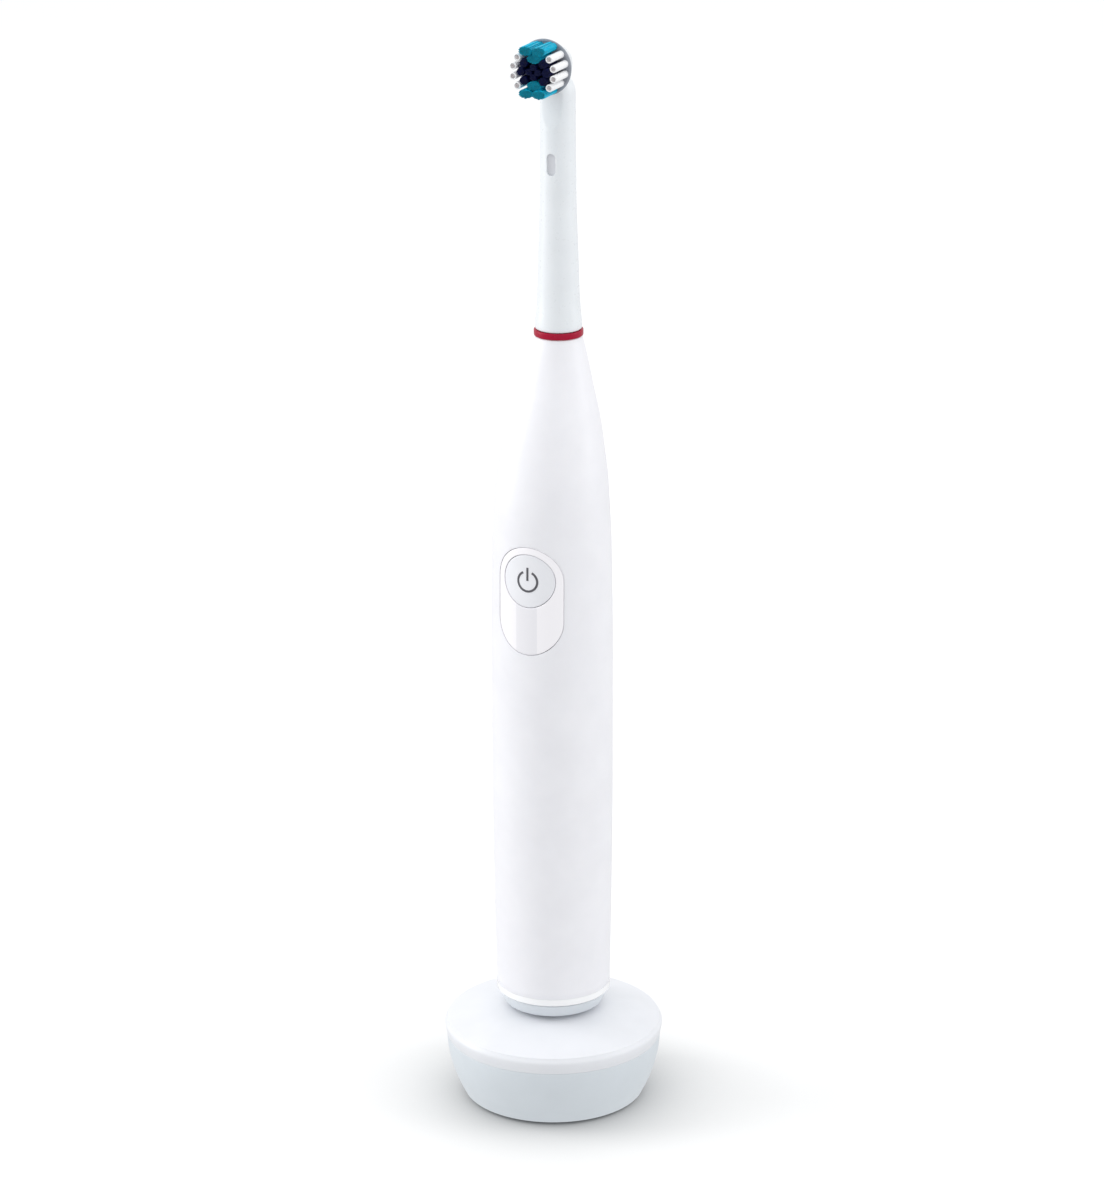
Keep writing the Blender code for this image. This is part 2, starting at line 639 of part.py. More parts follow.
def build_neck(group, look):
    """Tapered tube with a round top, joined to the cup behind the disc."""
    heights = [height for height, _ in reversed(NECK_RADII)]
    top = arc((0.0, CROWN_Z), neck_radius(CROWN_Z), 90, 0, 4)
    outline = [(0.0, top[0][1]), *top[1:-1], *[(neck_radius(z), z) for z in heights],
               (0.0, NECK_Z)]
    neck = piece("brush_neck", turned(outline, SIDES_NECK, (0.0, NECK_Y)), look, group)
    back_shape = [(0.0, 7.25), (1.3, 6.9), (2.3, 6.1), (3.4, 4.3), (4.3, 2.2), (5.4, -0.6),
                  (0.0, -0.6)]
    add(neck, "head_back", turned_forward(back_shape, SIDES_NECK, DISC_Z))
    bore = [(0.0, 240.9), (2.3, 240.9), (2.3, 226.0), (2.95, 213.0), (3.45, 201.0),
            (3.75, 190.0), (4.2, 180.0), (0.0, 180.0)]
    cut(neck, "neck_bore", turned(bore, 14, (0.0, NECK_Y)))
    cup = [(0.0, 1.4), (4.0, 1.4), (4.6, -0.3), (4.6, -3.0), (0.0, -3.0)]
    cut(neck, "cup_bore", turned_forward(cup, 20, DISC_Z))
    cut(neck, "crank_slot", block((4.2, 2.6, 1.8), (0.0, 1.8, DISC_Z - CRANK_DROP)))
    cut(neck, "pivot_bore", rod_forward(PIVOT_R + GAP, 0.5, 6.2, DISC_Z, 14))
    scoop = [(-3.0, 228.6), (0.2, 228.9), (0.75, 230.4), (1.05, 232.6), (1.15, 236.9),
             (-3.0, 236.9)]
    cut(neck, "flat_scoop", extruded_sideways(scoop, 6.0))
    window = stadium(0.95, 218.7, 221.7, 6)
    cut(neck, "drain_window", extruded_forward(window, -3.0, 3.0))


def brush_link(group):
    """Rod inside the neck: socket for the shaft below, crank arm above."""
    nylon = material("grey link acetal", (0.60, 0.61, 0.65), 0.45)
    outline = [(0.0, 240.2), (1.2, 240.2), (1.3, 203.0), (2.85, 201.0), (2.85, 190.0),
               (2.05, 190.0), (2.05, 199.6), (0.0, 199.6)]
    link = piece("brush_link", turned(outline, 18, (0.0, NECK_Y)), nylon, group)
    tip_y, tip_z = 0.1, DISC_Z - CRANK_DROP
    add(link, "crank_arm", block((0.9, NECK_Y - tip_y, 0.8),
                                 (0.0, 0.5 * (NECK_Y + tip_y), tip_z)))


def tuft_groups():
    """Tuft places on the disc by group: x, z from its centre, half sizes."""
    groups = {"tufts_white_left": [], "tufts_white_right": [], "tufts_teal_top": [],
              "tufts_teal_bottom": [], "tufts_navy": []}
    for side, name in ((-1, "tufts_white_left"), (1, "tufts_white_right")):
        for turn in (-39.6, -13.2, 13.2, 39.6):
            x, z = on_circle(WHITE_ROW_R, turn)
            groups[name].append((side * x, z, 0.82, 0.82))
    for side, name in ((1, "tufts_teal_top"), (-1, "tufts_teal_bottom")):
        for offset in (-TEAL_OUTER[0], TEAL_OUTER[0]):
            groups[name].append((offset, side * TEAL_OUTER[1], 1.2, 0.85))
        groups[name].append((0.0, side * TEAL_INNER_Z, 1.3, 0.85))
    for side in (-1, 1):
        for turn in (-40, 0, 40):
            x, z = on_circle(NAVY_ROW_R, turn)
            groups["tufts_navy"].append((side * x, z, 0.75, 0.75))
    for turn in (0, 90, 180, 270):
        x, z = on_circle(NAVY_CORE_R, turn)
        groups["tufts_navy"].append((x, z, 0.62, 0.60))
    return groups


def on_circle(radius, turn):
    return radius * math.cos(math.radians(turn)), radius * math.sin(math.radians(turn))


def mirrored(quarter):
    """Whole outline from its upper right quarter, right side to top."""
    upper_left = [(-x, z) for x, z in reversed(quarter)]
    lower_left = [(-x, -z) for x, z in quarter]
    lower_right = [(x, -z) for x, z in reversed(quarter)]
    return quarter + upper_left + lower_left + lower_right


def root_outline(name, grow):
    """Outline of the plate that a group's tufts are fused to."""
    if name.startswith("tufts_white"):
        side = -1 if name.endswith("left") else 1
        reach = 46.0 + 8.0 * grow
        points = (arc((0.0, 0.0), WHITE_ROW_R + 0.78 + grow, -reach, reach, 10)
                  + arc((0.0, 0.0), WHITE_ROW_R - 0.78 - grow, reach, -reach, 10))
        return [(side * x, z) for x, z in points]
    if name.startswith("tufts_teal"):
        side = 1 if name.endswith("top") else -1
        bar, stem = 2.55 + grow, 1.0 + grow
        points = [(stem, 2.2 - grow), (stem, 4.1 - grow), (bar, 4.1 - grow),
                  (bar, 5.3 + grow)]
        points += [(-x, z) for x, z in reversed(points)]
        return [(x, side * z) for x, z in points]
    return mirrored([(3.65 + grow, 0.75 + grow), (3.0 + grow, 0.75 + grow),
                     (3.0 + grow, 2.6 + grow), (1.55 - grow, 2.6 + grow),
                     (1.55 - grow, 1.65 + grow)])


def placed(points):
    return [(x, DISC_Z + z) for x, z in points]


def tuft(x, z, half_width, half_height):
    """Oval bar from its root plate forwards."""
    front, back = DISC_FRONT_Y - TUFT_LENGTH, DISC_FRONT_Y - 0.1
    data = rod_forward(1.0, front, back, 0.0, 8)
    bmesh.ops.scale(data, vec=(half_width, 1.0, half_height), verts=data.verts)
    bmesh.ops.translate(data, vec=(x, 0.0, DISC_Z + z), verts=data.verts)
    return data


def bristle_disc(group):
    """Disc on the pivot pin, and five groups of tufts let into its face."""
    grey = material("disc grey plastic", (0.30, 0.32, 0.36), 0.4)
    white = material("white bristle", (0.85, 0.86, 0.88), 0.5)
    teal = material("teal bristle", (0.0, 0.24, 0.36), 0.5)
    navy = material("navy bristle", (0.004, 0.008, 0.03), 0.5)
    rim_y = DISC_FRONT_Y + 0.4
    outline = [(0.0, DISC_BACK_Y), (DISC_R - 0.7, DISC_BACK_Y), (DISC_R, rim_y),
               (DISC_R, DISC_FRONT_Y), (0.0, DISC_FRONT_Y)]
    disc = piece("bristle_disc", turned_forward(outline, 32, DISC_Z), grey, group)
    add(disc, "disc_hub", rod_forward(1.9, -1.2, 1.0, DISC_Z, 18))
    for side in (-1, 1):
        add(disc, "prong_%s" % ("left" if side < 0 else "right"),
            block((0.45, 1.6, 1.2), (side * 1.08, -0.2, DISC_Z - 3.1)))
    cut(disc, "pivot_bore_disc", rod_forward(PIVOT_R + 0.25, -0.7, 1.5, DISC_Z, 14))
    for name, tufts in tuft_groups().items():
        pocket = extruded_forward(placed(root_outline(name, 0.15)),
                                  DISC_FRONT_Y - 1.0, DISC_FRONT_Y + 0.8)
        cut(disc, name + "_pocket", pocket)
        look = white if "white" in name else teal if "teal" in name else navy
        plate = extruded_forward(placed(root_outline(name, 0.0)),
                                 DISC_FRONT_Y - 0.3, DISC_FRONT_Y + 0.5)
        root = piece(name, plate, look, group)
        add(root, name + "_bars", joined([tuft(*sizes) for sizes in tufts]))


clear_scene()
charger_body = body_group("charger_body", (0, 0, 0))
charger(charger_body)
handle_body = body_group("handle_body", (0, 0, HANDLE_Z), charger_body)
handle(handle_body)
button(body_group("button_body", (0, -handle_radius(BUTTON_Z), BUTTON_Z), handle_body))
rotor(body_group("rotor_body", (0, MOTOR_Y, 132.0), handle_body))
gear(body_group("gear_body", (0, GEAR_Y, 132.2), handle_body))
shaft(body_group("shaft_body", (0, NECK_Y, 136.0), handle_body))
head_body = body_group("brush_head_body", (0, NECK_Y, RING_Z), handle_body)
brush_head(head_body)
brush_link(body_group("link_body", (0, NECK_Y, 190.0), head_body))
bristle_disc(body_group("disc_body", (0, DISC_FRONT_Y, DISC_Z), head_body))
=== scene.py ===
"""Looks of the electric toothbrush on its charging base.

Sizes below are millimetres, turned into metres by MM. Each visible piece is
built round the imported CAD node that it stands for; +Z is up and the front of
the toothbrush faces -Y.
"""
import json
import math
import random

import bmesh
import bpy
from mathutils import Matrix, Vector


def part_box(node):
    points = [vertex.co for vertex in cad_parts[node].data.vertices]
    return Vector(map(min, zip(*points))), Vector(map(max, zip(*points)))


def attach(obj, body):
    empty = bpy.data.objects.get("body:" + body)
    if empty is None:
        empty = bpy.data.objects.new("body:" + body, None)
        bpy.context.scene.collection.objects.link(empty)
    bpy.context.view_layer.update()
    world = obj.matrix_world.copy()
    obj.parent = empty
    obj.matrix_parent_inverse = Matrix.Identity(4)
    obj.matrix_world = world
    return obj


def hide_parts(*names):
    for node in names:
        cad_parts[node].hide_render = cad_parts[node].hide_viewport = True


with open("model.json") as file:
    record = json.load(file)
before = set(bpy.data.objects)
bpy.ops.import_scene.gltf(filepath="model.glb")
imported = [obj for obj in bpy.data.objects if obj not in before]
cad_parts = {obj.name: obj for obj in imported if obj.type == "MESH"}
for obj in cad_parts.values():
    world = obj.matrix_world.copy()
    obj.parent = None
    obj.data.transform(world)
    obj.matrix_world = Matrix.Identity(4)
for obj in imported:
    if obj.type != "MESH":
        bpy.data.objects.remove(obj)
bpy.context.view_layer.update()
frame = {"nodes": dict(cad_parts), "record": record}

MM = 0.001
TAU = 2 * math.pi


def cad_box(node):
    """Lowest and highest corner of a CAD node, in millimetres."""
    low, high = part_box(node)
    return Vector(low) / MM, Vector(high) / MM


SHELL_LOW, SHELL_HIGH = cad_box("handle_shell")
CAP_LOW, CAP_HIGH = cad_box("bottom_cap")
PANEL_LOW, PANEL_HIGH = cad_box("control_panel")
BUTTON_LOW, BUTTON_HIGH = cad_box("power_button")
LID_HIGH = cad_box("charger_top_shell")[1]
BOWL_HIGH = cad_box("charger_lower_shell")[1]
FOOT_HIGH = cad_box("foot_ring")[1]
NECK_LOW = cad_box("brush_neck")[0]
RING_LOW, RING_HIGH = cad_box("colour_ring")
DISC_LOW, DISC_HIGH = cad_box("bristle_disc")
SHAFT_LOW, SHAFT_HIGH = cad_box("drive_shaft")
TUFT_LOW = cad_box("tufts_navy")[0]

BODY_R = SHELL_HIGH.x
NOSE_Z = SHELL_HIGH.z
SHELL_Z = SHELL_LOW.z
NECK_Y = 0.5 * (RING_LOW.y + RING_HIGH.y)
RING_R = RING_HIGH.x
PANEL_Z = 0.5 * (PANEL_LOW.z + PANEL_HIGH.z)
PANEL_R = 0.5 * (PANEL_HIGH.x - PANEL_LOW.x)
PANEL_STRAIGHT = 0.5 * (PANEL_HIGH.z - PANEL_LOW.z) - PANEL_R
BUTTON_Z = 0.5 * (BUTTON_LOW.z + BUTTON_HIGH.z)
BUTTON_R = 0.5 * (BUTTON_HIGH.x - BUTTON_LOW.x)
RIM_R = LID_HIGH.x
SEAM_Z = BOWL_HIGH.z
DISC_Z = 0.5 * (DISC_LOW.z + DISC_HIGH.z)
DISC_R = DISC_HIGH.x
DISC_FRONT = DISC_LOW.y
TIP_Y = TUFT_LOW.y
LIP = 1.8                     # height of the polished edge round the handle's foot
NOSE_ROUND = 0.35             # radius of the nose's edge
NOSE_TOP = NOSE_Z + NOSE_ROUND
GAP = 0.12                    # clearance round the panel, and round the button
REFLECTION_STRIP_X, REFLECTION_STRIP_HALF = -0.3, 2.55    # the panel's painted reflection strip: its middle and half width
REFLECTION_STRIP_TOP = BUTTON_Z - 2.0
SLOT_Z = 220.9                # middle of the small window in the neck
SKY_LOW, SKY_MIDDLE, SKY_HIGH = 0.76, 0.9, 1.02    # brightness below, at and above the horizon


# ---------------------------------------------------------------- camera

def build_camera():
    """Long lens, a little above the brush, its front turned to the left."""
    azimuth, tilt, roll = math.radians(23.81), math.radians(18.871), math.radians(-0.222)
    distance, height = 0.9, 0.42846
    place = Vector((math.sin(azimuth) * distance, -math.cos(azimuth) * distance, height))
    level = Vector((math.cos(azimuth), math.sin(azimuth), 0.0))
    ahead = Vector((-math.sin(azimuth) * math.cos(tilt), math.cos(azimuth) * math.cos(tilt),
                    -math.sin(tilt)))
    upright = level.cross(ahead)
    right = level * math.cos(roll) + upright * math.sin(roll)
    up = upright * math.cos(roll) - level * math.sin(roll)
    data = bpy.data.cameras.new("camera")
    data.lens = 126.5
    data.sensor_width = 36.0
    data.clip_end = 20.0
    camera = bpy.data.objects.new("camera", data)
    bpy.context.collection.objects.link(camera)
    turn = Matrix((right, up, -ahead)).transposed().to_4x4()
    camera.matrix_world = Matrix.Translation(place) @ turn
    bpy.context.scene.camera = camera


# ------------------------------------------------------------- materials

class Nodes:
    """A material's node tree, with short ways to add and join nodes."""

    def __init__(self, name):
        self.material = bpy.data.materials.new(name)
        self.material.use_nodes = True
        self.tree = self.material.node_tree
        self.shader = self.tree.nodes["Principled BSDF"]
        self.place = self.add("ShaderNodeTexCoord").outputs["Object"]

    def add(self, kind, **values):
        node = self.tree.nodes.new(kind)
        for key, value in values.items():
            setattr(node, key, value)
        return node

    def link(self, output, socket):
        self.tree.links.new(output, socket)

    def noise(self, scale, detail=3.0, roughness=0.55, stretch=None):
        place = self.place
        if stretch is not None:
            mapping = self.add("ShaderNodeMapping")
            mapping.inputs["Scale"].default_value = stretch
            self.link(place, mapping.inputs["Vector"])
            place = mapping.outputs["Vector"]
        texture = self.add("ShaderNodeTexNoise")
        texture.inputs["Scale"].default_value = scale
        texture.inputs["Detail"].default_value = detail
        texture.inputs["Roughness"].default_value = roughness
        self.link(place, texture.inputs["Vector"])
        return texture.outputs["Fac"]

    def ramp(self, source, low, high, start=0.3, end=0.7):
        """Two colours or two greys spread over part of the source's range."""
        ramp = self.add("ShaderNodeValToRGB")
        ramp.color_ramp.elements[0].position = start
        ramp.color_ramp.elements[1].position = end
        ramp.color_ramp.elements[0].color = (*low, 1.0)
        ramp.color_ramp.elements[1].color = (*high, 1.0)
        self.link(source, ramp.inputs["Fac"])
        return ramp.outputs["Color"]

    def roughness(self, source, low, high):
        spread = self.add("ShaderNodeMapRange")
        spread.inputs["From Min"].default_value = 0.3
        spread.inputs["From Max"].default_value = 0.7
        spread.inputs["To Min"].default_value = low
        spread.inputs["To Max"].default_value = high
        self.link(source, spread.inputs["Value"])
        self.link(spread.outputs["Result"], self.shader.inputs["Roughness"])

    def bump(self, source, depth_mm):
        bump = self.add("ShaderNodeBump")
        bump.inputs["Distance"].default_value = depth_mm * MM
        bump.inputs["Strength"].default_value = 1.0
        self.link(source, bump.inputs["Height"])
        self.link(bump.outputs["Normal"], self.shader.inputs["Normal"])

    def set(self, **values):
        for key, value in values.items():
            self.shader.inputs[key.replace("_", " ")].default_value = value


def tint(colour, factor):
    return tuple(min(1.0, channel * factor) for channel in colour)


def plastic(name, colour, roughness, grain_mm=0.6, depth_mm=0.004, soft=0.0, coat=0.0,
            spread=0.02, shine=0.5):
    """Moulded plastic: faint mottling, uneven gloss and a fine skin."""
    nodes = Nodes(name)
    cloud = nodes.noise(0.12 / MM, 4.0)
    nodes.link(nodes.ramp(cloud, tint(colour, 1 - spread), tint(colour, 1 + spread)),
               nodes.shader.inputs["Base Color"])
    grain = nodes.noise(1.0 / (grain_mm * MM), 3.0)
    nodes.roughness(grain, roughness * 0.88, roughness * 1.12)
    nodes.bump(grain, depth_mm)
    nodes.set(IOR=1.49, Specular_IOR_Level=shine)
    if soft:
        nodes.shader.inputs["Subsurface Weight"].default_value = soft
        nodes.shader.inputs["Subsurface Radius"].default_value = (1.0, 0.95, 0.9)
        nodes.shader.inputs["Subsurface Scale"].default_value = 1.2 * MM
    if coat:
        nodes.shader.inputs["Coat Weight"].default_value = coat
        nodes.shader.inputs["Coat Roughness"].default_value = 0.04
    return nodes.material


def metal(name, colour, roughness, along=(1.0, 1.0, 0.06), depth_mm=0.003):
    """Drawn or ground metal with fine lines along one direction."""
    nodes = Nodes(name)
    lines = nodes.noise(1.6 / MM, 4.0, 0.6, stretch=along)
    nodes.link(nodes.ramp(lines, tint(colour, 0.86), tint(colour, 1.1)),
               nodes.shader.inputs["Base Color"])
    nodes.roughness(lines, roughness * 0.7, roughness * 1.3)
    nodes.bump(lines, depth_mm)
    nodes.set(Metallic=1.0)
    return nodes.material


def rubber(name, colour):
    nodes = Nodes(name)
    grain = nodes.noise(2.2 / MM, 5.0, 0.65)
    nodes.link(nodes.ramp(grain, tint(colour, 0.8), tint(colour, 1.3)),
               nodes.shader.inputs["Base Color"])
    nodes.roughness(grain, 0.62, 0.85)
    nodes.bump(grain, 0.02)
    return nodes.material


def winding(name, colour):
    """Enamelled wire laid turn on turn, as fine level rings."""
    nodes = Nodes(name)
    wave = nodes.add("ShaderNodeTexWave", bands_direction="Z")
    wave.inputs["Scale"].default_value = 0.9 / MM
    wave.inputs["Distortion"].default_value = 0.6
    nodes.link(nodes.place, wave.inputs["Vector"])
    # The darker bands between the turns are painted shade in the grooves between wires.
    nodes.link(nodes.ramp(wave.outputs["Fac"], tint(colour, 0.45), tint(colour, 1.15), 0.1, 0.8),
               nodes.shader.inputs["Base Color"])
    nodes.roughness(wave.outputs["Fac"], 0.25, 0.45)
    nodes.bump(wave.outputs["Fac"], 0.08)
    nodes.set(Metallic=0.9)
    return nodes.material


def circuit(name, colour):
    """Solder mask with lighter tracks."""
    nodes = Nodes(name)
    cells = nodes.add("ShaderNodeTexVoronoi", feature="DISTANCE_TO_EDGE")
    cells.inputs["Scale"].default_value = 0.45 / MM
    nodes.link(nodes.place, cells.inputs["Vector"])
    nodes.link(nodes.ramp(cells.outputs["Distance"], tint(colour, 1.9), colour, 0.03, 0.07),
               nodes.shader.inputs["Base Color"])
    nodes.roughness(cells.outputs["Distance"], 0.22, 0.4)
    nodes.bump(cells.outputs["Distance"], 0.02)
    return nodes.material


def bristle(name, colour, roughness=0.42, soft=0.15, wander=0.2):
    """Nylon filament: colour wanders a little from strand to strand."""
    nodes = Nodes(name)
    strands = nodes.noise(1.6 / MM, 2.0, 0.5, stretch=(1.0, 0.05, 1.0))
    nodes.link(nodes.ramp(strands, tint(colour, 1 - wander), tint(colour, 1 + wander)),
               nodes.shader.inputs["Base Color"])
    nodes.roughness(strands, roughness * 0.8, roughness * 1.2)
    nodes.bump(strands, 0.01)
    nodes.set(Specular_IOR_Level=0.25)
    nodes.shader.inputs["Subsurface Weight"].default_value = soft
    nodes.shader.inputs["Subsurface Radius"].default_value = (1.0, 1.0, 1.0)
    nodes.shader.inputs["Subsurface Scale"].default_value = 0.4 * MM
    return nodes.material


def reflection_strip_panel(name, colour, window):
    """Glossy plate with a painted reflection: a darker, satin strip down its middle, below the
    button. window is the colour of that painted reflection.
    """
    nodes = Nodes(name)
    split = nodes.add("ShaderNodeSeparateXYZ")
    nodes.link(nodes.place, split.inputs["Vector"])
    strip = nodes.add("ShaderNodeMath", operation="COMPARE")
    strip.inputs[1].default_value = REFLECTION_STRIP_X * MM
    strip.inputs[2].default_value = REFLECTION_STRIP_HALF * MM
    nodes.link(split.outputs["X"], strip.inputs[0])
    below = nodes.add("ShaderNodeMath", operation="LESS_THAN")
    below.inputs[1].default_value = REFLECTION_STRIP_TOP * MM
    nodes.link(split.outputs["Z"], below.inputs[0])
    inside = nodes.add("ShaderNodeMath", operation="MULTIPLY")
    nodes.link(strip.outputs["Value"], inside.inputs[0])
    nodes.link(below.outputs["Value"], inside.inputs[1])
    # Base colour: the plate's white, and the darker painted reflection inside the strip.
    nodes.link(nodes.ramp(inside.outputs["Value"], colour, window, 0.0, 1.0),
               nodes.shader.inputs["Base Color"])
    glossy, satin = (0.14,) * 3, (0.3,) * 3
    nodes.link(nodes.ramp(inside.outputs["Value"], glossy, satin, 0.0, 1.0),
               nodes.shader.inputs["Roughness"])
    nodes.bump(nodes.noise(0.4 / MM, 3.0), 0.002)
    nodes.set(IOR=1.49)
    nodes.shader.inputs["Coat Weight"].default_value = 0.5
    nodes.shader.inputs["Coat Roughness"].default_value = 0.04
    return nodes.material


def srgb(red, green, blue):
    """Linear colour from 8-bit display values."""
    def channel(value):
        value /= 255
        return value / 12.92 if value <= 0.04045 else ((value + 0.055) / 1.055) ** 2.4
    return channel(red), channel(green), channel(blue)


def make_looks():
    white = srgb(242, 244, 247)
    return {
        "handle": plastic("handle_white", srgb(243, 242, 246), 0.36, soft=0.12),
        "lid": plastic("lid_white", srgb(234, 235, 239), 0.38, soft=0.12),
        # The bowl's white is darker than the lid's: painted shade for its downward-facing sides.
        "bowl": plastic("bowl_shaded_white", srgb(216, 222, 227), 0.42, soft=0.08),
        # The cap is light grey-white plastic, darkened further as painted shade for its
        # downward-facing chamfer.
        "cap": plastic("cap_shaded_white", srgb(220, 225, 230), 0.40, soft=0.08),
        # The lip is polished, with low roughness and a coat; its colour, whiter than the
        # handle's, is a painted highlight on the foot's rounded edge.
        "lip": plastic("lip_polished_highlight", srgb(252, 252, 253), 0.2, 1.0, 0.002, 0.1, 0.6, 0.005),
        "liner": plastic("liner_grey", srgb(214, 215, 220), 0.4, 0.4, 0.004),
        # The second colour is the painted reflection strip down the panel.
        "panel": reflection_strip_panel("panel_gloss", srgb(255, 252, 255), srgb(242, 240, 244)),
        "button": plastic("button_satin", srgb(240, 240, 244), 0.42, 0.25, 0.006, 0.05),
        "symbol": plastic("symbol_grey", srgb(88, 87, 92), 0.5, 0.2, 0.002),
        "neck": plastic("neck_white", srgb(236, 239, 242), 0.30, 0.8, 0.003, 0.15),
        "ring": plastic("ring_crimson", srgb(166, 0, 46), 0.3, 0.8, 0.002, shine=0.25),
        "disc": plastic("disc_grey", srgb(152, 156, 165), 0.36, 0.4, 0.004),
        "white": bristle("bristle_white", srgb(252, 252, 254), 0.35, 0.3, 0.02),
        # Tip colours are darker copies of the strands' colours, grey-beige for the white: painted
        # shade at the strand ends.
        "white_tip": bristle("bristle_white_tip", srgb(196, 186, 186), 0.6),
        "teal": bristle("bristle_teal", srgb(0, 182, 214)),
        "teal_tip": bristle("bristle_teal_tip", srgb(0, 138, 160), 0.6, 0.1),
        "navy": bristle("bristle_navy", srgb(4, 14, 74), 0.6, 0.0, 0.35),
        "navy_tip": bristle("bristle_navy_tip", srgb(4, 12, 60), 0.7, 0.0, 0.35),
        "white_plastic": plastic("inner_white", white, 0.4),
        "base_grey": plastic("plate_white", srgb(226, 229, 234), 0.5, 0.3, 0.012),
        "rubber_dark": rubber("rubber_dark", srgb(58, 58, 62)),
        "gland": rubber("gland_rubber", srgb(206, 209, 214)),
        "nylon": plastic("nylon_natural", srgb(226, 223, 210), 0.5, 0.4, 0.006, 0.1),
        "acetal_grey": plastic("acetal_grey", srgb(206, 209, 216), 0.42, 0.3, 0.004),
        "steel": metal("ground_steel", (0.62, 0.62, 0.62), 0.24),
        "copper_wire": winding("copper_winding", (0.62, 0.24, 0.08)),
        "bronze": metal("sintered_bronze", (0.50, 0.34, 0.14), 0.42, (1.0, 1.0, 1.0), 0.01),
        "ferrite": plastic("ferrite_black", srgb(48, 48, 52), 0.62, 0.3, 0.02, spread=0.2),
        "board_green": circuit("solder_mask", srgb(22, 92, 50)),
        "black_part": plastic("epoxy_black", srgb(34, 34, 37), 0.5, 0.2, 0.01, spread=0.2),
        "chassis_grey": plastic("chassis_grey", srgb(128, 130, 134), 0.55, 0.3, 0.01),
        "cell_green": plastic("cell_sleeve", srgb(36, 108, 70), 0.3, 1.0, 0.01, coat=0.3),
        "lamp_clear": plastic("lamp_lens", srgb(204, 236, 214), 0.12, 1.0, 0.002, 0.5),
    }


# ---------------------------------------------------------- mesh helpers

def piece(name, data, look, body, node=None, sharp=40.0):
    """A bmesh in millimetres as a finished piece that rides on a body.

    With no body it is a hidden tool for combine().
    """
    bmesh.ops.scale(data, vec=(MM, MM, MM), verts=data.verts)
    bmesh.ops.recalc_face_normals(data, faces=data.faces)
    mesh = bpy.data.meshes.new(name)
    data.to_mesh(mesh)
    data.free()
    mesh.shade_smooth()
    mesh.set_sharp_from_angle(angle=math.radians(sharp))
    made = bpy.data.objects.new(name, mesh)
    bpy.context.collection.objects.link(made)
    for material in look if isinstance(look, (list, tuple)) else [look]:
        mesh.materials.append(material)
    if body is None:
        made.hide_render = True
        return made
    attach(made, body)
    if node is not None:
        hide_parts(*([node] if isinstance(node, str) else node))
    return made


def turned(outline, sides, centre=(0.0, 0.0), lean=None):
    """Closed (radius, height) outline turned round a vertical axis."""
    data = bmesh.new()
    rings = []
    for radius, height in outline:
        shift = centre[1] + (lean(height) if lean else 0.0)
        if radius <= 0.0:
            rings.append([data.verts.new((centre[0], shift, height))])
        else:
            rings.append([data.verts.new((centre[0] + radius * math.sin(TAU * step / sides),
                                          shift - radius * math.cos(TAU * step / sides),
                                          height)) for step in range(sides)])
    bridge(data, rings, sides)
    return data


def bridge(data, rings, sides, closed=True):
    """Faces between neighbouring rings; a ring of one vertex is a pole."""
    pairs = list(zip(rings, rings[1:] + rings[:1])) if closed else list(zip(rings, rings[1:]))
    for ring, following in pairs:
        if len(ring) == 1 and len(following) == 1:
            continue
        for step in range(sides):
            onward = (step + 1) % sides
            corners = [ring[step % len(ring)], following[step % len(following)],
                       following[onward % len(following)], ring[onward % len(ring)]]
            data.faces.new(list(dict.fromkeys(corners)))


def lay_forward(data, centre_z):
    """Turn a vertical shape so that its height runs along +Y."""
    lay = Matrix(((1, 0, 0, 0), (0, 0, 1, 0), (0, -1, 0, centre_z), (0, 0, 0, 1)))
    bmesh.ops.transform(data, matrix=lay, verts=data.verts)
    return data


def extruded_forward(points, front, back):
    """Closed XZ outline extruded along Y."""
    data = bmesh.new()
    near = [data.verts.new((x, front, z)) for x, z in points]
    far = [data.verts.new((x, back, z)) for x, z in points]
    data.faces.new(near)
    data.faces.new(list(reversed(far)))
    bridge(data, [near, far], len(points), closed=False)
    bmesh.ops.recalc_face_normals(data, faces=data.faces)
    return data


def block(size, centre):
    data = bmesh.new()
    bmesh.ops.create_cube(data, size=1.0)
    bmesh.ops.scale(data, vec=size, verts=data.verts)
    bmesh.ops.translate(data, vec=centre, verts=data.verts)
    return data


def combine(target, name, data, operation="DIFFERENCE"):
    """Cut a shape out of target, or join it on, until settle() fixes it."""
    tool = piece(name, data, bpy.data.materials["inner_white"], None)
    change = target.modifiers.new(name, "BOOLEAN")
    change.operation = operation
    change.solver = "EXACT"
    change.object = tool


def settle(target):
    """Fix the modifiers' result into the mesh and drop their tools."""
    bpy.context.view_layer.update()
    graph = bpy.context.evaluated_depsgraph_get()
    tools = [change.object for change in target.modifiers if change.type == "BOOLEAN"]
    mesh = bpy.data.meshes.new_from_object(target.evaluated_get(graph), depsgraph=graph)
    target.modifiers.clear()
    target.data = mesh
    for tool in tools:
        bpy.data.objects.remove(tool, do_unlink=True)


def arc(centre, radius, start, end, steps):
    """Points from one angle to another, in degrees, first axis to second."""
    turns = [math.radians(start + (end - start) * step / steps) for step in range(steps + 1)]
    return [(centre[0] + radius * math.cos(turn), centre[1] + radius * math.sin(turn))
            for turn in turns]


def stadium(radius, straight, centre_z, steps=32):
    """Outline with two round ends, centred on x = 0."""
    sides = [straight * (1 - 2 * step / 12) for step in range(1, 12)]
    return (arc((0.0, centre_z + straight), radius, 0, 180, steps)
            + [(-radius, centre_z + side) for side in sides]
            + arc((0.0, centre_z - straight), radius, 180, 360, steps)
            + [(radius, centre_z - side) for side in sides])


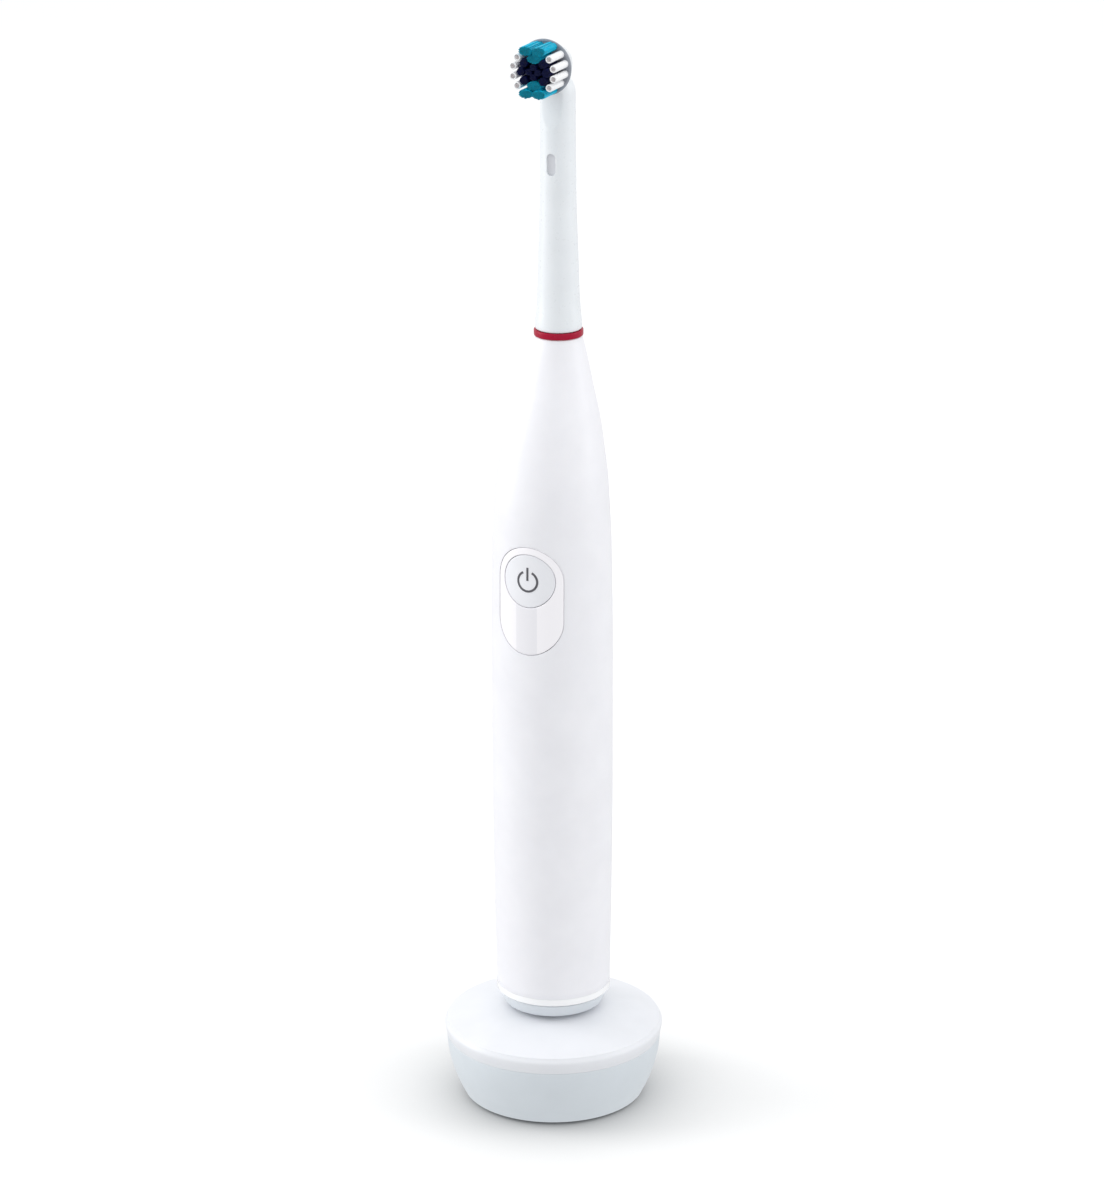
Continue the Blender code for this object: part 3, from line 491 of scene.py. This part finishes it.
def smooth_between(stations, place):
    """Monotone cubic through (place, value) stations, rising in place."""
    def rise(at):
        return ((stations[at + 1][1] - stations[at][1])
                / (stations[at + 1][0] - stations[at][0]))

    def slope(at):
        if at == 0:
            return 0.0
        if at == len(stations) - 1:
            return rise(at - 1)
        before, after = rise(at - 1), rise(at)
        return 0.0 if before * after <= 0 else 2 * before * after / (before + after)

    index = 0
    while index < len(stations) - 2 and place > stations[index + 1][0]:
        index += 1
    low, high = stations[index], stations[index + 1]
    span = high[0] - low[0]
    share = min(max((place - low[0]) / span, 0.0), 1.0)
    square, cube = share ** 2, share ** 3
    return ((2 * cube - 3 * square + 1) * low[1]
            + (cube - 2 * square + share) * slope(index) * span
            + (3 * square - 2 * cube) * high[1]
            + (cube - square) * slope(index + 1) * span)


def steps_between(low, high, count):
    return [low + (high - low) * step / count for step in range(count + 1)]


# By height: the handle's radius and backward lean, and the neck's radius
HANDLE_RADII = [(SHELL_Z - 0.3, 13.1), (48.0, 13.45), (80.0, BODY_R), (110.0, BODY_R),
                (133.0, 13.5), (148.0, 12.75), (160.5, 10.9), (172.5, 7.75), (NOSE_Z, 5.4)]
HANDLE_LEAN = [(SHELL_Z, 0.0), (141.0, 0.0), (154.5, 0.6), (166.5, 2.2), (176.0, 3.7),
               (NOSE_Z, NECK_Y)]
NECK_RADII = [(NECK_LOW.z, 5.25), (190.0, 4.78), (201.0, 4.42), (213.0, 4.05),
              (230.0, 3.92), (238.0, 3.9)]


def handle_radius(height):
    return smooth_between(HANDLE_RADII, height)


def handle_lean(height):
    return smooth_between(HANDLE_LEAN, height)


def skin_y(x, z, depth=0.0):
    """Y of the handle's front surface at x, z, or that far under it."""
    radius = handle_radius(z) - depth
    return handle_lean(z) - math.sqrt(max(radius ** 2 - x ** 2, 0.0))


# --------------------------------------------------------------- handle

def build_shell(looks):
    """Tapering tube with rounded ends, cut for the panel."""
    outer = [(handle_radius(z), z)
             for z in steps_between(NOSE_TOP - NOSE_ROUND, SHELL_Z + LIP, 110)]
    nose = arc((handle_radius(NOSE_Z) - NOSE_ROUND, NOSE_TOP - NOSE_ROUND), NOSE_ROUND,
               90, 0, 5)[:-1]
    edge_r = handle_radius(SHELL_Z + LIP)
    foot = [(edge_r - 0.12, SHELL_Z + LIP - 0.15), (edge_r + 0.06, SHELL_Z + 0.5),
            (edge_r + 0.04, SHELL_Z + 0.3), (edge_r - 0.15, SHELL_Z + 0.08),
            (edge_r - 0.4, SHELL_Z)]
    cap_bore_r, wall = 11.5, 1.6
    inner = [(cap_bore_r, SHELL_Z), (cap_bore_r, SHELL_Z + 6.0)]
    inner += [(handle_radius(z) - wall, z) for z in steps_between(80.0, NOSE_Z - 7.0, 14)]
    inner.append((4.25, NOSE_TOP))
    data = turned(nose + outer + foot + inner, 160, lean=handle_lean)
    # Faces round the foot's edge take the lip look, whose whiter colour is a painted highlight.
    for face in data.faces:
        middle = face.calc_center_median()
        face.material_index = int(middle.z < SHELL_Z + LIP and math.hypot(*middle.xy) > 12.0)
    shell = piece("handle_skin", data, [looks["handle"], looks["lip"]], "handle",
                  "handle_shell")
    opening = stadium(PANEL_R + GAP, PANEL_STRAIGHT, PANEL_Z, 40)
    combine(shell, "panel_opening", extruded_forward(opening, -20.0, -6.0))
    soften(shell, 0.12)
    settle(shell)


def soften(target, width_mm, angle=55.0, segments=2):
    bevel = target.modifiers.new("soft edges", "BEVEL")
    bevel.width = width_mm * MM
    bevel.segments = segments
    bevel.limit_method = "ANGLE"
    bevel.angle_limit = math.radians(angle)
    bevel.harden_normals = False
    bevel.use_clamp_overlap = True


def skin_patch(outline, centre_z, edge=0.22, depth=1.4, rings=18, lift=0.0, hole=None):
    """A plate that follows the handle's front, with a rolled edge.

    outline(inset) gives the border moved inwards; hole(outset) gives an
    inner border moved outwards, or the plate is closed at its centre.
    """
    data = bmesh.new()
    loops = []

    def loop(points, drop):
        loops.append([data.verts.new((x, skin_y(x, z, drop - lift), z)) for x, z in points])

    count = len(outline(0.0))
    loop(outline(0.0), depth)
    for turn in (0, 22.5, 45, 67.5, 90):
        angle = math.radians(turn)
        loop(outline(edge * (1 - math.cos(angle))), edge * (1 - math.sin(angle)))
    border = outline(edge)
    core = hole(edge) if hole else [(0.0, centre_z)] * count
    for step in range(1, rings):
        share = step / rings
        loop([(a[0] + (b[0] - a[0]) * share, a[1] + (b[1] - a[1]) * share)
              for a, b in zip(border, core)], 0.0)
    if hole:
        for turn in (90, 67.5, 45, 22.5, 0):
            angle = math.radians(turn)
            loop(hole(edge * (1 - math.cos(angle))), edge * (1 - math.sin(angle)))
        loop(hole(0.0), depth)
        bridge(data, loops, count)
    else:
        loops.append([data.verts.new((0.0, skin_y(0.0, centre_z, -lift), centre_z))])
        bridge(data, loops, count, closed=False)
        data.faces.new(loops[0])
    return data


def build_panel(looks):
    """Glossy oval plate with a round hole for the button."""
    steps = 64

    def border(inset):
        return stadium(PANEL_R - inset, PANEL_STRAIGHT, PANEL_Z, steps)

    def opening(outset):
        return matched_circle(border(0.0), BUTTON_R + GAP + outset, BUTTON_Z)

    piece("panel_plate", skin_patch(border, PANEL_Z, edge=0.18, hole=opening),
          looks["panel"], "handle", "control_panel")


def matched_circle(border, radius, centre_z):
    """A circle with one point towards each point of the border."""
    points = []
    for x, z in border:
        away = math.hypot(x, z - centre_z)
        points.append((x / away * radius, centre_z + (z - centre_z) / away * radius))
    return points


def build_button(looks):
    def border(inset):
        return arc((0.0, BUTTON_Z), BUTTON_R - inset, 0, 360, 96)[:-1]

    cap = skin_patch(border, BUTTON_Z, edge=0.2, depth=1.8, rings=24, lift=-0.06)
    piece("button_cap", cap, looks["button"], "button", "power_button")
    piece("power_symbol", symbol_mesh(), looks["symbol"], "button")


def symbol_mesh():
    """Printed ring, open at the top, and an upright bar in the gap."""
    data = bmesh.new()
    half, radius, gap = 0.25, 2.3, 27.0    # half stroke, ring radius, half gap in degrees
    print_lift = 0.045
    face, root = -print_lift + 0.06, 0.12    # depths under the handle's surface

    def strip(pairs):
        rows = []
        for left, right in pairs:
            rows.append([data.verts.new((x, skin_y(x, z, depth), z))
                         for (x, z), depth in ((left, face), (right, face),
                                               (right, root), (left, root))])
        for first, second in zip(rows, rows[1:]):
            for step in range(4):
                onward = (step + 1) % 4
                data.faces.new((first[step], second[step], second[onward], first[onward]))
        data.faces.new(rows[0])
        data.faces.new(list(reversed(rows[-1])))

    ring = []
    for step in range(73):
        turn = math.radians(90 + gap + (360 - 2 * gap) * step / 72)
        ring.append(tuple((math.cos(turn) * (radius + side * half),
                           BUTTON_Z + math.sin(turn) * (radius + side * half))
                          for side in (-1, 1)))
    strip(ring)
    bar = [((-half, z), (half, z)) for z in steps_between(BUTTON_Z + 0.15, BUTTON_Z + 3.2, 10)]
    strip(bar)
    return data


def build_bottom_cap(looks):
    """Cap that closes the handle, with the socket for the charging post."""
    low = CAP_LOW.z
    seam = SHELL_Z - 0.25
    edge_r = CAP_HIGH.x
    socket_r, socket_top = 5.3, CAP_HIGH.z - 1.2
    outer = [(0.0, CAP_HIGH.z), (socket_r + 1.2, CAP_HIGH.z), (socket_r + 1.2, seam - 0.2),
             (9.9, seam - 0.2), (9.9, 32.0), (11.2, 32.0), (11.2, seam)]
    rim = [(edge_r - 0.55, seam)] + arc((edge_r - 0.4, seam - 0.15), 0.15, 90, -25, 5)
    chamfer = arc((10.95, low + 0.5), 0.5, -25, -90, 6)
    mouth = arc((socket_r + 0.5, low + 0.5), 0.5, 270, 180, 6)
    inner = [(socket_r, socket_top - 0.8), (socket_r - 0.8, socket_top), (0.0, socket_top)]
    piece("cap_body", turned(outer + rim + chamfer + mouth + inner, 128), looks["cap"],
          "handle", "bottom_cap")


# --------------------------------------------------------------- charger

POST_R = 4.7
POST_TOP = LID_HIGH.z
RIM_Z = 18.8
DOME_Z = 22.2
SEAM_R = 24.8
CREASE_R = 24.75
POST_FILLET = 1.6
POST_ROUND = 2.0              # rounding of the post's tip
BOWL_FOOT_Z, BOWL_FOOT_R = 1.2, 20.2


def lid_dome(share):
    """Point on the lid's top: share 0 at the rim, 1 at the post."""
    radius = CREASE_R - 0.2 - (CREASE_R - 0.2 - POST_R - POST_FILLET) * share
    return radius, RIM_Z + (DOME_Z - RIM_Z) * (1 - (1 - share) ** 2)


def build_lid(looks):
    """Domed lid with a crisp rim, a skirt, and the hollow charging post."""
    skirt = [(SEAM_R - 0.05, SEAM_Z - 0.28), (SEAM_R, SEAM_Z - 0.2)]
    belly = [(SEAM_Z - 0.2, SEAM_R), (16.4, RIM_R - 0.15), (17.5, RIM_R), (RIM_Z - 0.2, CREASE_R)]
    skirt += [(smooth_between(belly, z), z)
              for z in steps_between(SEAM_Z - 0.2, RIM_Z - 0.2, 14)[1:]]
    rim = arc((CREASE_R - 0.2, RIM_Z - 0.2), 0.2, 15, 75, 4)
    dome = [lid_dome(share) for share in steps_between(0.02, 1.0, 40)]
    fillet = arc((POST_R + POST_FILLET, DOME_Z + POST_FILLET), POST_FILLET, 270, 180, 8)[1:]
    post_height = POST_TOP - POST_ROUND - DOME_Z - POST_FILLET
    post = [(POST_R - 0.4 * share, DOME_Z + POST_FILLET + post_height * share)
            for share in steps_between(0.1, 1.0, 8)]
    tip = arc((POST_R - 2.4, POST_TOP - POST_ROUND), POST_ROUND, 0, 90, 10)[1:]
    tip.append((0.0, POST_TOP))
    inner = [(0.0, POST_TOP - 1.6), (POST_R - 1.7, POST_TOP - 1.6), (POST_R - 1.3, 20.2),
             (14.0, 19.5), (RIM_R - 2.8, 17.0), (SEAM_R - 1.8, SEAM_Z - 0.28)]
    piece("lid_shell", turned(skirt + rim + dome + fillet + post + tip + inner, 192),
          looks["lid"], "charger", "charger_top_shell", 50.0)


def bowl_radius(height):
    share = height / (SEAM_Z - 0.3)
    return BOWL_FOOT_R + (SEAM_R - BOWL_FOOT_R) * math.sin(share * math.pi / 2) ** 0.85


def gland_height():
    """Height of the cord gland's axis."""
    low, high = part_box("cord_gland")
    return 0.5 * (low[2] + high[2]) / MM


def build_bowl(looks):
    """Lower shell that rounds in to the foot."""
    top = SEAM_Z - 0.3
    outer = [(bowl_radius(z), z) for z in steps_between(top, BOWL_FOOT_Z, 40)]
    outer[0] = (SEAM_R - 0.05, top)
    outer.insert(1, (SEAM_R - 0.01, top - 0.06))
    foot = arc((bowl_radius(BOWL_FOOT_Z) - 0.3, BOWL_FOOT_Z), 0.3, -20, -90, 4)
    inner = [(18.7, 0.9), (19.0, 3.4), (21.2, 7.0), (22.8, top)]
    bowl = piece("bowl_shell", turned(outer + foot + inner, 192), looks["bowl"], "charger",
                 "charger_lower_shell", 50.0)
    hole_r, hole_start, hole_end = 2.75, 16.0, 28.0
    hole = [(0.0, hole_end), (hole_r, hole_end), (hole_r, hole_start), (0.0, hole_start)]
    combine(bowl, "gland_opening", lay_forward(turned(hole, 48), gland_height()))
    settle(bowl)


def build_gland(looks):
    """Soft collar at the back, where the cord goes in."""
    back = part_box("cord_gland")[1][1] / MM
    outline = ([(1.6, 16.5), (3.3, 16.5), (3.3, 18.1), (2.6, 18.1)]
               + arc((2.1, back - 0.5), 0.5, 0, 90, 6) + arc((1.9, back - 0.3), 0.3, 90, 180, 5))
    data = lay_forward(turned(list(reversed(outline)), 48), gland_height())
    piece("gland_collar", data, looks["gland"], "charger", "cord_gland")


def build_underside(looks):
    """Rubber foot ring, base plate and the three screws in their wells."""
    ring_r, inner_r, edge = FOOT_HIGH.x, 16.8, 0.35
    outline = (arc((ring_r - edge, edge), edge, 0, -90, 5)
               + arc((inner_r + edge, edge), edge, 270, 180, 5)
               + [(inner_r, FOOT_HIGH.z), (ring_r, FOOT_HIGH.z)])
    piece("foot_band", turned(outline, 128), looks["rubber_dark"], "charger", "foot_ring")
    plate_low, plate_high = cad_box("charger_base_plate")
    rim = plate_high.x
    outline = [(0.0, plate_high.z), (rim, plate_high.z), (rim, plate_low.z + 0.15),
               (rim - 0.15, plate_low.z), (9.6, plate_low.z), (9.3, plate_low.z + 0.3),
               (0.0, plate_low.z + 0.3)]
    plate = piece("base_panel", turned(outline, 128), looks["base_grey"], "charger",
                  "charger_base_plate")
    for number in range(3):
        low, high = cad_box("charger_screw_%d" % (number + 1))
        centre = (0.5 * (low.x + high.x), 0.5 * (low.y + high.y))
        well = [(0.0, 4.0), (0.95, 4.0), (0.95, 2.3), (2.05, 1.9), (2.05, 0.0), (0.0, 0.0)]
        combine(plate, "screw_well_%d" % (number + 1), turned(well, 40, centre))
        build_screw(looks, number, low, high, centre)
    settle(plate)


def build_screw(looks, number, low, high, centre):
    """Pan-head screw with a cross recess, seen from below."""
    head = [(0.0, high.z), (0.6, high.z - 0.6)]
    for z in steps_between(high.z - 1.2, 2.6, 22):
        head.append((0.5 if len(head) % 2 else 0.62, z))
    head += [(0.62, 1.85), (1.8, 1.85), (1.8, 1.3)]
    head += [(1.8 - 1.1 * (1 - math.cos(turn)), 1.3 - 0.5 * math.sin(turn))
             for turn in steps_between(0.2, 1.2, 5)]
    head.append((0.0, low.z))
    screw = piece("screw_%d" % (number + 1), turned(head, 40, centre), looks["steel"], "charger",
                  "charger_screw_%d" % (number + 1))
    for name, size in (("a", (0.34, 1.9, 1.0)), ("b", (1.9, 0.34, 1.0))):
        combine(screw, "cross_%s_%d" % (name, number + 1),
                block(size, (centre[0], centre[1], low.z + 0.1)))
    settle(screw)


# ------------------------------------------------------------ brush head

def neck_radius(height):
    return smooth_between(NECK_RADII, height)


def build_neck(looks):
    """Tube with a round top that runs into the cup behind the disc."""
    crown_z, crown_rise = 236.4, 4.3
    crown = [(neck_radius(crown_z) * math.cos(turn), crown_z + crown_rise * math.sin(turn))
             for turn in steps_between(math.pi / 2, 0.0, 12)]
    foot_z = RING_HIGH.z + 0.05
    sides = [(neck_radius(z), z) for z in steps_between(crown_z - 1.0, foot_z + 0.2, 50)]
    lip = arc((neck_radius(foot_z) - 0.2, foot_z + 0.2), 0.2, 0, -90, 4)[1:]
    outline = [(0.0, crown[0][1]), *crown[1:], *sides, *lip, (0.0, foot_z)]
    neck = piece("neck_shell", turned(outline, 72, (0.0, NECK_Y)), looks["neck"], "head",
                 "brush_neck")
    back = [(-0.6, 5.4), (0.8, 4.85), (2.2, 4.3), (4.3, 3.45), (6.1, 2.45), (6.9, 1.4)]
    dome = [(smooth_between(back, y), y) for y in steps_between(-0.6, 6.9, 20)]
    dome = [(0.0, -0.6), *dome, (0.7, 7.18), (0.0, 7.25)]
    combine(neck, "head_back", lay_forward(turned(dome, 72), DISC_Z), "UNION")
    nape = [(2.5 * math.cos(turn), 240.3 + 3.0 * math.sin(turn))
            for turn in steps_between(math.pi / 2, -math.pi / 2, 16)]
    nape[0], nape[-1] = (0.0, nape[0][1]), (0.0, nape[-1][1])
    combine(neck, "nape", turned(nape, 48, (0.0, 5.0)), "UNION")
    remesh = neck.modifiers.new("one skin", "REMESH")
    remesh.mode = "VOXEL"
    remesh.voxel_size = 0.16 * MM
    remesh.use_smooth_shade = True
    smooth = neck.modifiers.new("fillet", "SMOOTH")
    smooth.factor = 0.5
    smooth.iterations = 30
    bore = [(0.0, 240.35), (1.4, 240.35), (1.6, 239.5), (2.3, 238.6), (2.3, 226.0),
            (2.95, 213.0), (3.45, 201.0), (3.75, 190.0), (4.2, 180.0), (0.0, 180.0)]
    combine(neck, "neck_bore", turned(bore, 40, (0.0, NECK_Y)))
    cup = [(0.0, 1.4), (4.0, 1.4), (4.6, -0.3), (4.6, -3.0), (0.0, -3.0)]
    combine(neck, "cup_bore", lay_forward(turned(cup, 48), DISC_Z))
    combine(neck, "crank_way", block((4.2, 2.6, 1.8), (0.0, 1.8, DISC_Z - 3.2)))
    combine(neck, "flat_scoop", scoop_mesh())
    combine(neck, "window", extruded_forward(stadium(1.05, 1.42, SLOT_Z, 16), -3.0, 3.0))
    settle(neck)
    pane = extruded_forward(stadium(1.45, 1.45, SLOT_Z, 16), 0.8, 1.3)
    piece("window_liner", pane, looks["liner"], "head")


def scoop_mesh():
    """Cutter for the flat under the disc, which fades out downwards."""
    profile = [(y, z) for z, y in ((228.6, 0.15), (229.4, 0.45), (230.6, 0.78), (232.2, 1.02),
                                   (234.2, 1.12), (236.9, 1.15))]
    points = [(-3.0, 228.5), *profile, (-3.0, 236.9)]
    data = bmesh.new()
    left = [data.verts.new((-6.0, y, z)) for y, z in points]
    right = [data.verts.new((6.0, y, z)) for y, z in points]
    data.faces.new(left)
    data.faces.new(list(reversed(right)))
    bridge(data, [left, right], len(points), closed=False)
    bmesh.ops.recalc_face_normals(data, faces=data.faces)
    return data


def build_ring(looks):
    low, high, inner, edge = RING_LOW.z + 0.1, RING_HIGH.z, 3.5, 0.22
    outline = (arc((RING_R - edge, high - edge), edge, 90, 0, 5)
               + arc((RING_R - edge, low + edge), edge, 0, -90, 5)
               + [(inner, low), (inner, high)])
    piece("ring_band", turned(outline, 128, (0.0, NECK_Y)), looks["ring"], "head",
          "colour_ring")


def build_disc(looks):
    """Grey disc with a raised rim; hub and prongs behind it."""
    front, back = DISC_FRONT, DISC_FRONT + 1.9
    outline = ([(0.0, front + 0.12), (DISC_R - 0.62, front + 0.12), (DISC_R - 0.5, front)]
               + arc((DISC_R - 0.2, front + 0.2), 0.2, -90, 30, 6)
               + [(DISC_R - 0.7, back - 0.1), (DISC_R - 0.85, back)]
               + [(1.9, back), (1.9, back + 1.8), (1.7, back + 1.9), (1.05, back + 1.9),
                  (1.05, back + 0.2), (0.0, back + 0.2)])
    disc = piece("disc_plate", lay_forward(turned(outline, 96), DISC_Z), looks["disc"], "disc",
                 "bristle_disc")
    for side in (-1, 1):
        combine(disc, "prong_%d" % (side + 1),
                block((0.45, 1.6, 1.2), (side * 1.08, back + 0.7, DISC_Z - 3.1)), "UNION")
    settle(disc)


def tuft_groups():
    """Tuft places by CAD node: x, z from the disc's centre, half sizes."""
    groups = {"tufts_white_left": [], "tufts_white_right": [], "tufts_teal_top": [],
              "tufts_teal_bottom": [], "tufts_navy": []}
    for side, name in ((-1, "tufts_white_left"), (1, "tufts_white_right")):
        for turn in (-39.6, -13.2, 13.2, 39.6):
            x, z = on_circle(4.88, turn)
            groups[name].append((side * x, z, 0.82, 0.82))
    for side, name in ((1, "tufts_teal_top"), (-1, "tufts_teal_bottom")):
        for offset in (-1.6, 1.5):
            groups[name].append((offset, side * 4.68, 1.56, 1.02))
        groups[name].append((0.15, side * 2.95, 1.62, 1.04))
    for side in (-1, 1):
        for turn in (-40, 0, 40):
            x, z = on_circle(2.95, turn)
            groups["tufts_navy"].append((side * x, z, 0.98, 0.96))
    for turn in (0, 90, 180, 270):
        x, z = on_circle(1.06, turn)
        groups["tufts_navy"].append((x, z, 0.85, 0.82))
    return groups


def on_circle(radius, turn):
    return radius * math.cos(math.radians(turn)), radius * math.sin(math.radians(turn))


def filament(data, x, z, reach, radius, lean, sides=6):
    """One strand from the disc forwards, with a rounded tip."""
    root = DISC_FRONT + 0.3
    tip = DISC_FRONT - reach
    stations = [(root, 1.0), (tip + radius * 1.1, 1.0), (tip + radius * 0.35, 0.8),
                (tip + 0.02, 0.42)]
    rings = []
    for y, share in stations:
        along = (root - y) / (root - tip)
        cx, cz = x + lean[0] * along ** 2, DISC_Z + z + lean[1] * along ** 2
        rings.append([data.verts.new((cx + radius * share * math.cos(TAU * step / sides), y,
                                      cz + radius * share * math.sin(TAU * step / sides)))
                      for step in range(sides)])
    first = len(data.faces)
    bridge(data, rings, sides, closed=False)
    end = data.faces.new(rings[-1])
    data.faces.new(list(reversed(rings[0])))
    data.faces.ensure_lookup_table()
    # The tip faces take the darker tip look: painted shade at the strand's end.
    for face in list(data.faces)[first + sides:first + 3 * sides] + [end]:
        face.material_index = 1


def fill_tuft(data, chance, x, z, half_width, half_height, reach, radius, gap):
    """Strands packed in an oval, on a triangular grid with a little play."""
    row_step = gap * math.sqrt(3) / 2
    rows = int(half_height / row_step) + 1
    for row in range(-rows, rows + 1):
        columns = int(half_width / gap) + 1
        for column in range(-columns, columns + 1):
            dx = (column + (0.5 if row % 2 else 0.0)) * gap
            dz = row * row_step
            away = math.hypot(dx / (half_width - radius), dz / (half_height - radius))
            if away > 1.0:
                continue
            play = gap * 0.08
            filament(data, x + dx + chance.uniform(-play, play),
                     z + dz + chance.uniform(-play, play),
                     reach - 0.10 * away ** 2 + chance.uniform(-0.05, 0.05), radius,
                     (dx * 0.05 + chance.uniform(-0.03, 0.03),
                      dz * 0.05 + chance.uniform(-0.03, 0.03)))


def sleeve(data, x, z, outer, reach, sides=28):
    """Soft tube round a white tuft, open at its tip."""
    root, tip = DISC_FRONT + 0.3, DISC_FRONT - reach + 0.06
    outline = [(outer, root), (outer, tip + 0.2), (outer - 0.06, tip + 0.06), (outer - 0.18, tip),
               (outer - 0.28, tip + 0.1), (outer - 0.3, tip + 0.6)]
    rings = [[data.verts.new((x + radius * math.cos(TAU * step / sides), y,
                              DISC_Z + z + radius * math.sin(TAU * step / sides)))
              for step in range(sides)] for radius, y in outline]
    bridge(data, rings, sides, closed=False)
    data.faces.new(rings[0])
    data.faces.new(rings[-1])


def build_tufts(looks):
    chance = random.Random(7)
    reach = DISC_FRONT - TIP_Y
    kinds = {"white": (0.1, 0.215), "teal": (0.105, 0.21), "navy": (0.105, 0.21)}
    core_half = 0.52    # half size of the strands inside a white tuft's sleeve
    for node, tufts in tuft_groups().items():
        kind = node.split("_")[1]
        radius, gap = kinds[kind]
        data = bmesh.new()
        for x, z, wide, tall in tufts:
            if kind == "white":
                sleeve(data, x, z, wide, reach)
                wide = tall = core_half
            longer = 0.6 if kind == "teal" and abs(z) > 4.0 else 0.0
            fill_tuft(data, chance, x, z, wide, tall, reach + longer, radius, gap)
        # Each tuft takes its strands' colour and the darker tip colour, which is painted shade at
        # the ends.
        piece(node.replace("tufts", "bristles"), data, [looks[kind], looks[kind + "_tip"]],
              "disc", node, 60.0)


def build_shaft(looks):
    """Ground steel shaft with a flat, seen when the head is off."""
    radius = SHAFT_HIGH.x
    top = SHAFT_HIGH.z
    outline = ([(0.0, top)] + arc((radius - 0.4, top - 0.4), 0.4, 90, 0, 5)
               + [(radius, SHAFT_LOW.z), (0.0, SHAFT_LOW.z)])
    bar = piece("shaft_bar", turned(outline, 64, (0.0, NECK_Y)), looks["steel"], "shaft",
                "drive_shaft")
    combine(bar, "flat", block((5.0, 2.0, 14.0), (0.0, NECK_Y - radius - 0.45, top - 5.2)))
    settle(bar)


# ----------------------------------------------------------------- stage

def build_stage():
    """Pale floor with a painted contact shadow round the base, under an overcast studio sky, with
    a soft box on each side.
    """
    floor = bpy.data.meshes.new("floor")
    data = bmesh.new()
    bmesh.ops.create_grid(data, x_segments=1, y_segments=1, size=6.0)
    data.to_mesh(floor)
    data.free()
    ground = bpy.data.objects.new("floor", floor)
    bpy.context.collection.objects.link(ground)
    nodes = Nodes("floor_white_painted_shadow")
    # Painted shadow: darker near the base by distance from the centre, and darker again by
    # ambient occlusion.
    away = nodes.add("ShaderNodeVectorMath", operation="LENGTH")
    nodes.link(nodes.place, away.inputs[0])
    spread = nodes.ramp(away.outputs["Value"], (0.94, 0.935, 0.93), (1.0, 1.0, 1.0), 0.045, 0.3)
    shade = nodes.add("ShaderNodeAmbientOcclusion", samples=16)
    shade.inputs["Distance"].default_value = 35 * MM
    soften_by = nodes.add("ShaderNodeMath", operation="SQRT")
    nodes.link(shade.outputs["AO"], soften_by.inputs[0])
    colour = nodes.add("ShaderNodeVectorMath", operation="SCALE")
    nodes.link(spread, colour.inputs[0])
    nodes.link(soften_by.outputs["Value"], colour.inputs["Scale"])
    nodes.link(colour.outputs["Vector"], nodes.shader.inputs["Base Color"])
    nodes.set(Roughness=0.9)
    nodes.shader.inputs["Specular IOR Level"].default_value = 0.0
    floor.materials.append(nodes.material)
    ground.visible_diffuse = False
    ground.visible_glossy = False
    ground.visible_shadow = False
    build_sky()
    soft_box("left_box", (-0.85, -0.26, 0.45), (0.5, 1.0), 3.8)
    soft_box("right_box", (0.9, 0.3, 0.5), (0.5, 1.0), 2.0)
    bpy.context.scene.view_settings.view_transform = "Standard"


def build_sky():
    """Surroundings: bright overhead, dimmer at the horizon and below it."""
    world = bpy.data.worlds.new("studio")
    world.use_nodes = True
    tree = world.node_tree
    direction = tree.nodes.new("ShaderNodeTexCoord").outputs["Generated"]
    split = tree.nodes.new("ShaderNodeSeparateXYZ")
    tree.links.new(direction, split.inputs["Vector"])
    ramp = tree.nodes.new("ShaderNodeValToRGB")
    height = tree.nodes.new("ShaderNodeMapRange")
    height.inputs["From Min"].default_value = -1.0
    tree.links.new(split.outputs["Z"], height.inputs["Value"])
    tree.links.new(height.outputs["Result"], ramp.inputs["Fac"])
    bands = ramp.color_ramp.elements
    bands[0].position, bands[1].position = 0.48, 0.52
    bands.new(0.9)
    for band, level in zip(bands, (SKY_LOW, SKY_MIDDLE, SKY_HIGH)):
        band.color = (level * 0.975, level * 0.99, level, 1.0)
    tree.links.new(ramp.outputs["Color"], tree.nodes["Background"].inputs["Color"])
    tree.nodes["Background"].inputs["Strength"].default_value = 1.0
    bpy.context.scene.world = world


def soft_box(name, place, size, watts):
    light = bpy.data.lights.new(name, "AREA")
    light.shape = "RECTANGLE"
    light.size, light.size_y = size
    light.energy = watts
    lamp = bpy.data.objects.new(name, light)
    lamp.visible_camera = False
    bpy.context.collection.objects.link(lamp)
    lamp.location = place
    aim = Vector((0.0, 0.0, 0.12)) - Vector(place)
    lamp.rotation_euler = aim.to_track_quat("-Z", "Y").to_euler()


def dress_cad_nodes(looks):
    """Every CAD node that stays takes the look of its record slot."""
    for part in frame["record"]["subparts"]:
        node = frame["nodes"][part["node"]]
        node.data.materials.clear()
        node.data.materials.append(looks.get(part["material_slot"], looks["white_plastic"]))


build_camera()
LOOKS = make_looks()
dress_cad_nodes(LOOKS)
build_shell(LOOKS)
build_panel(LOOKS)
build_button(LOOKS)
build_bottom_cap(LOOKS)
build_lid(LOOKS)
build_bowl(LOOKS)
build_gland(LOOKS)
build_underside(LOOKS)
build_neck(LOOKS)
build_ring(LOOKS)
build_disc(LOOKS)
build_tufts(LOOKS)
build_shaft(LOOKS)
build_stage()
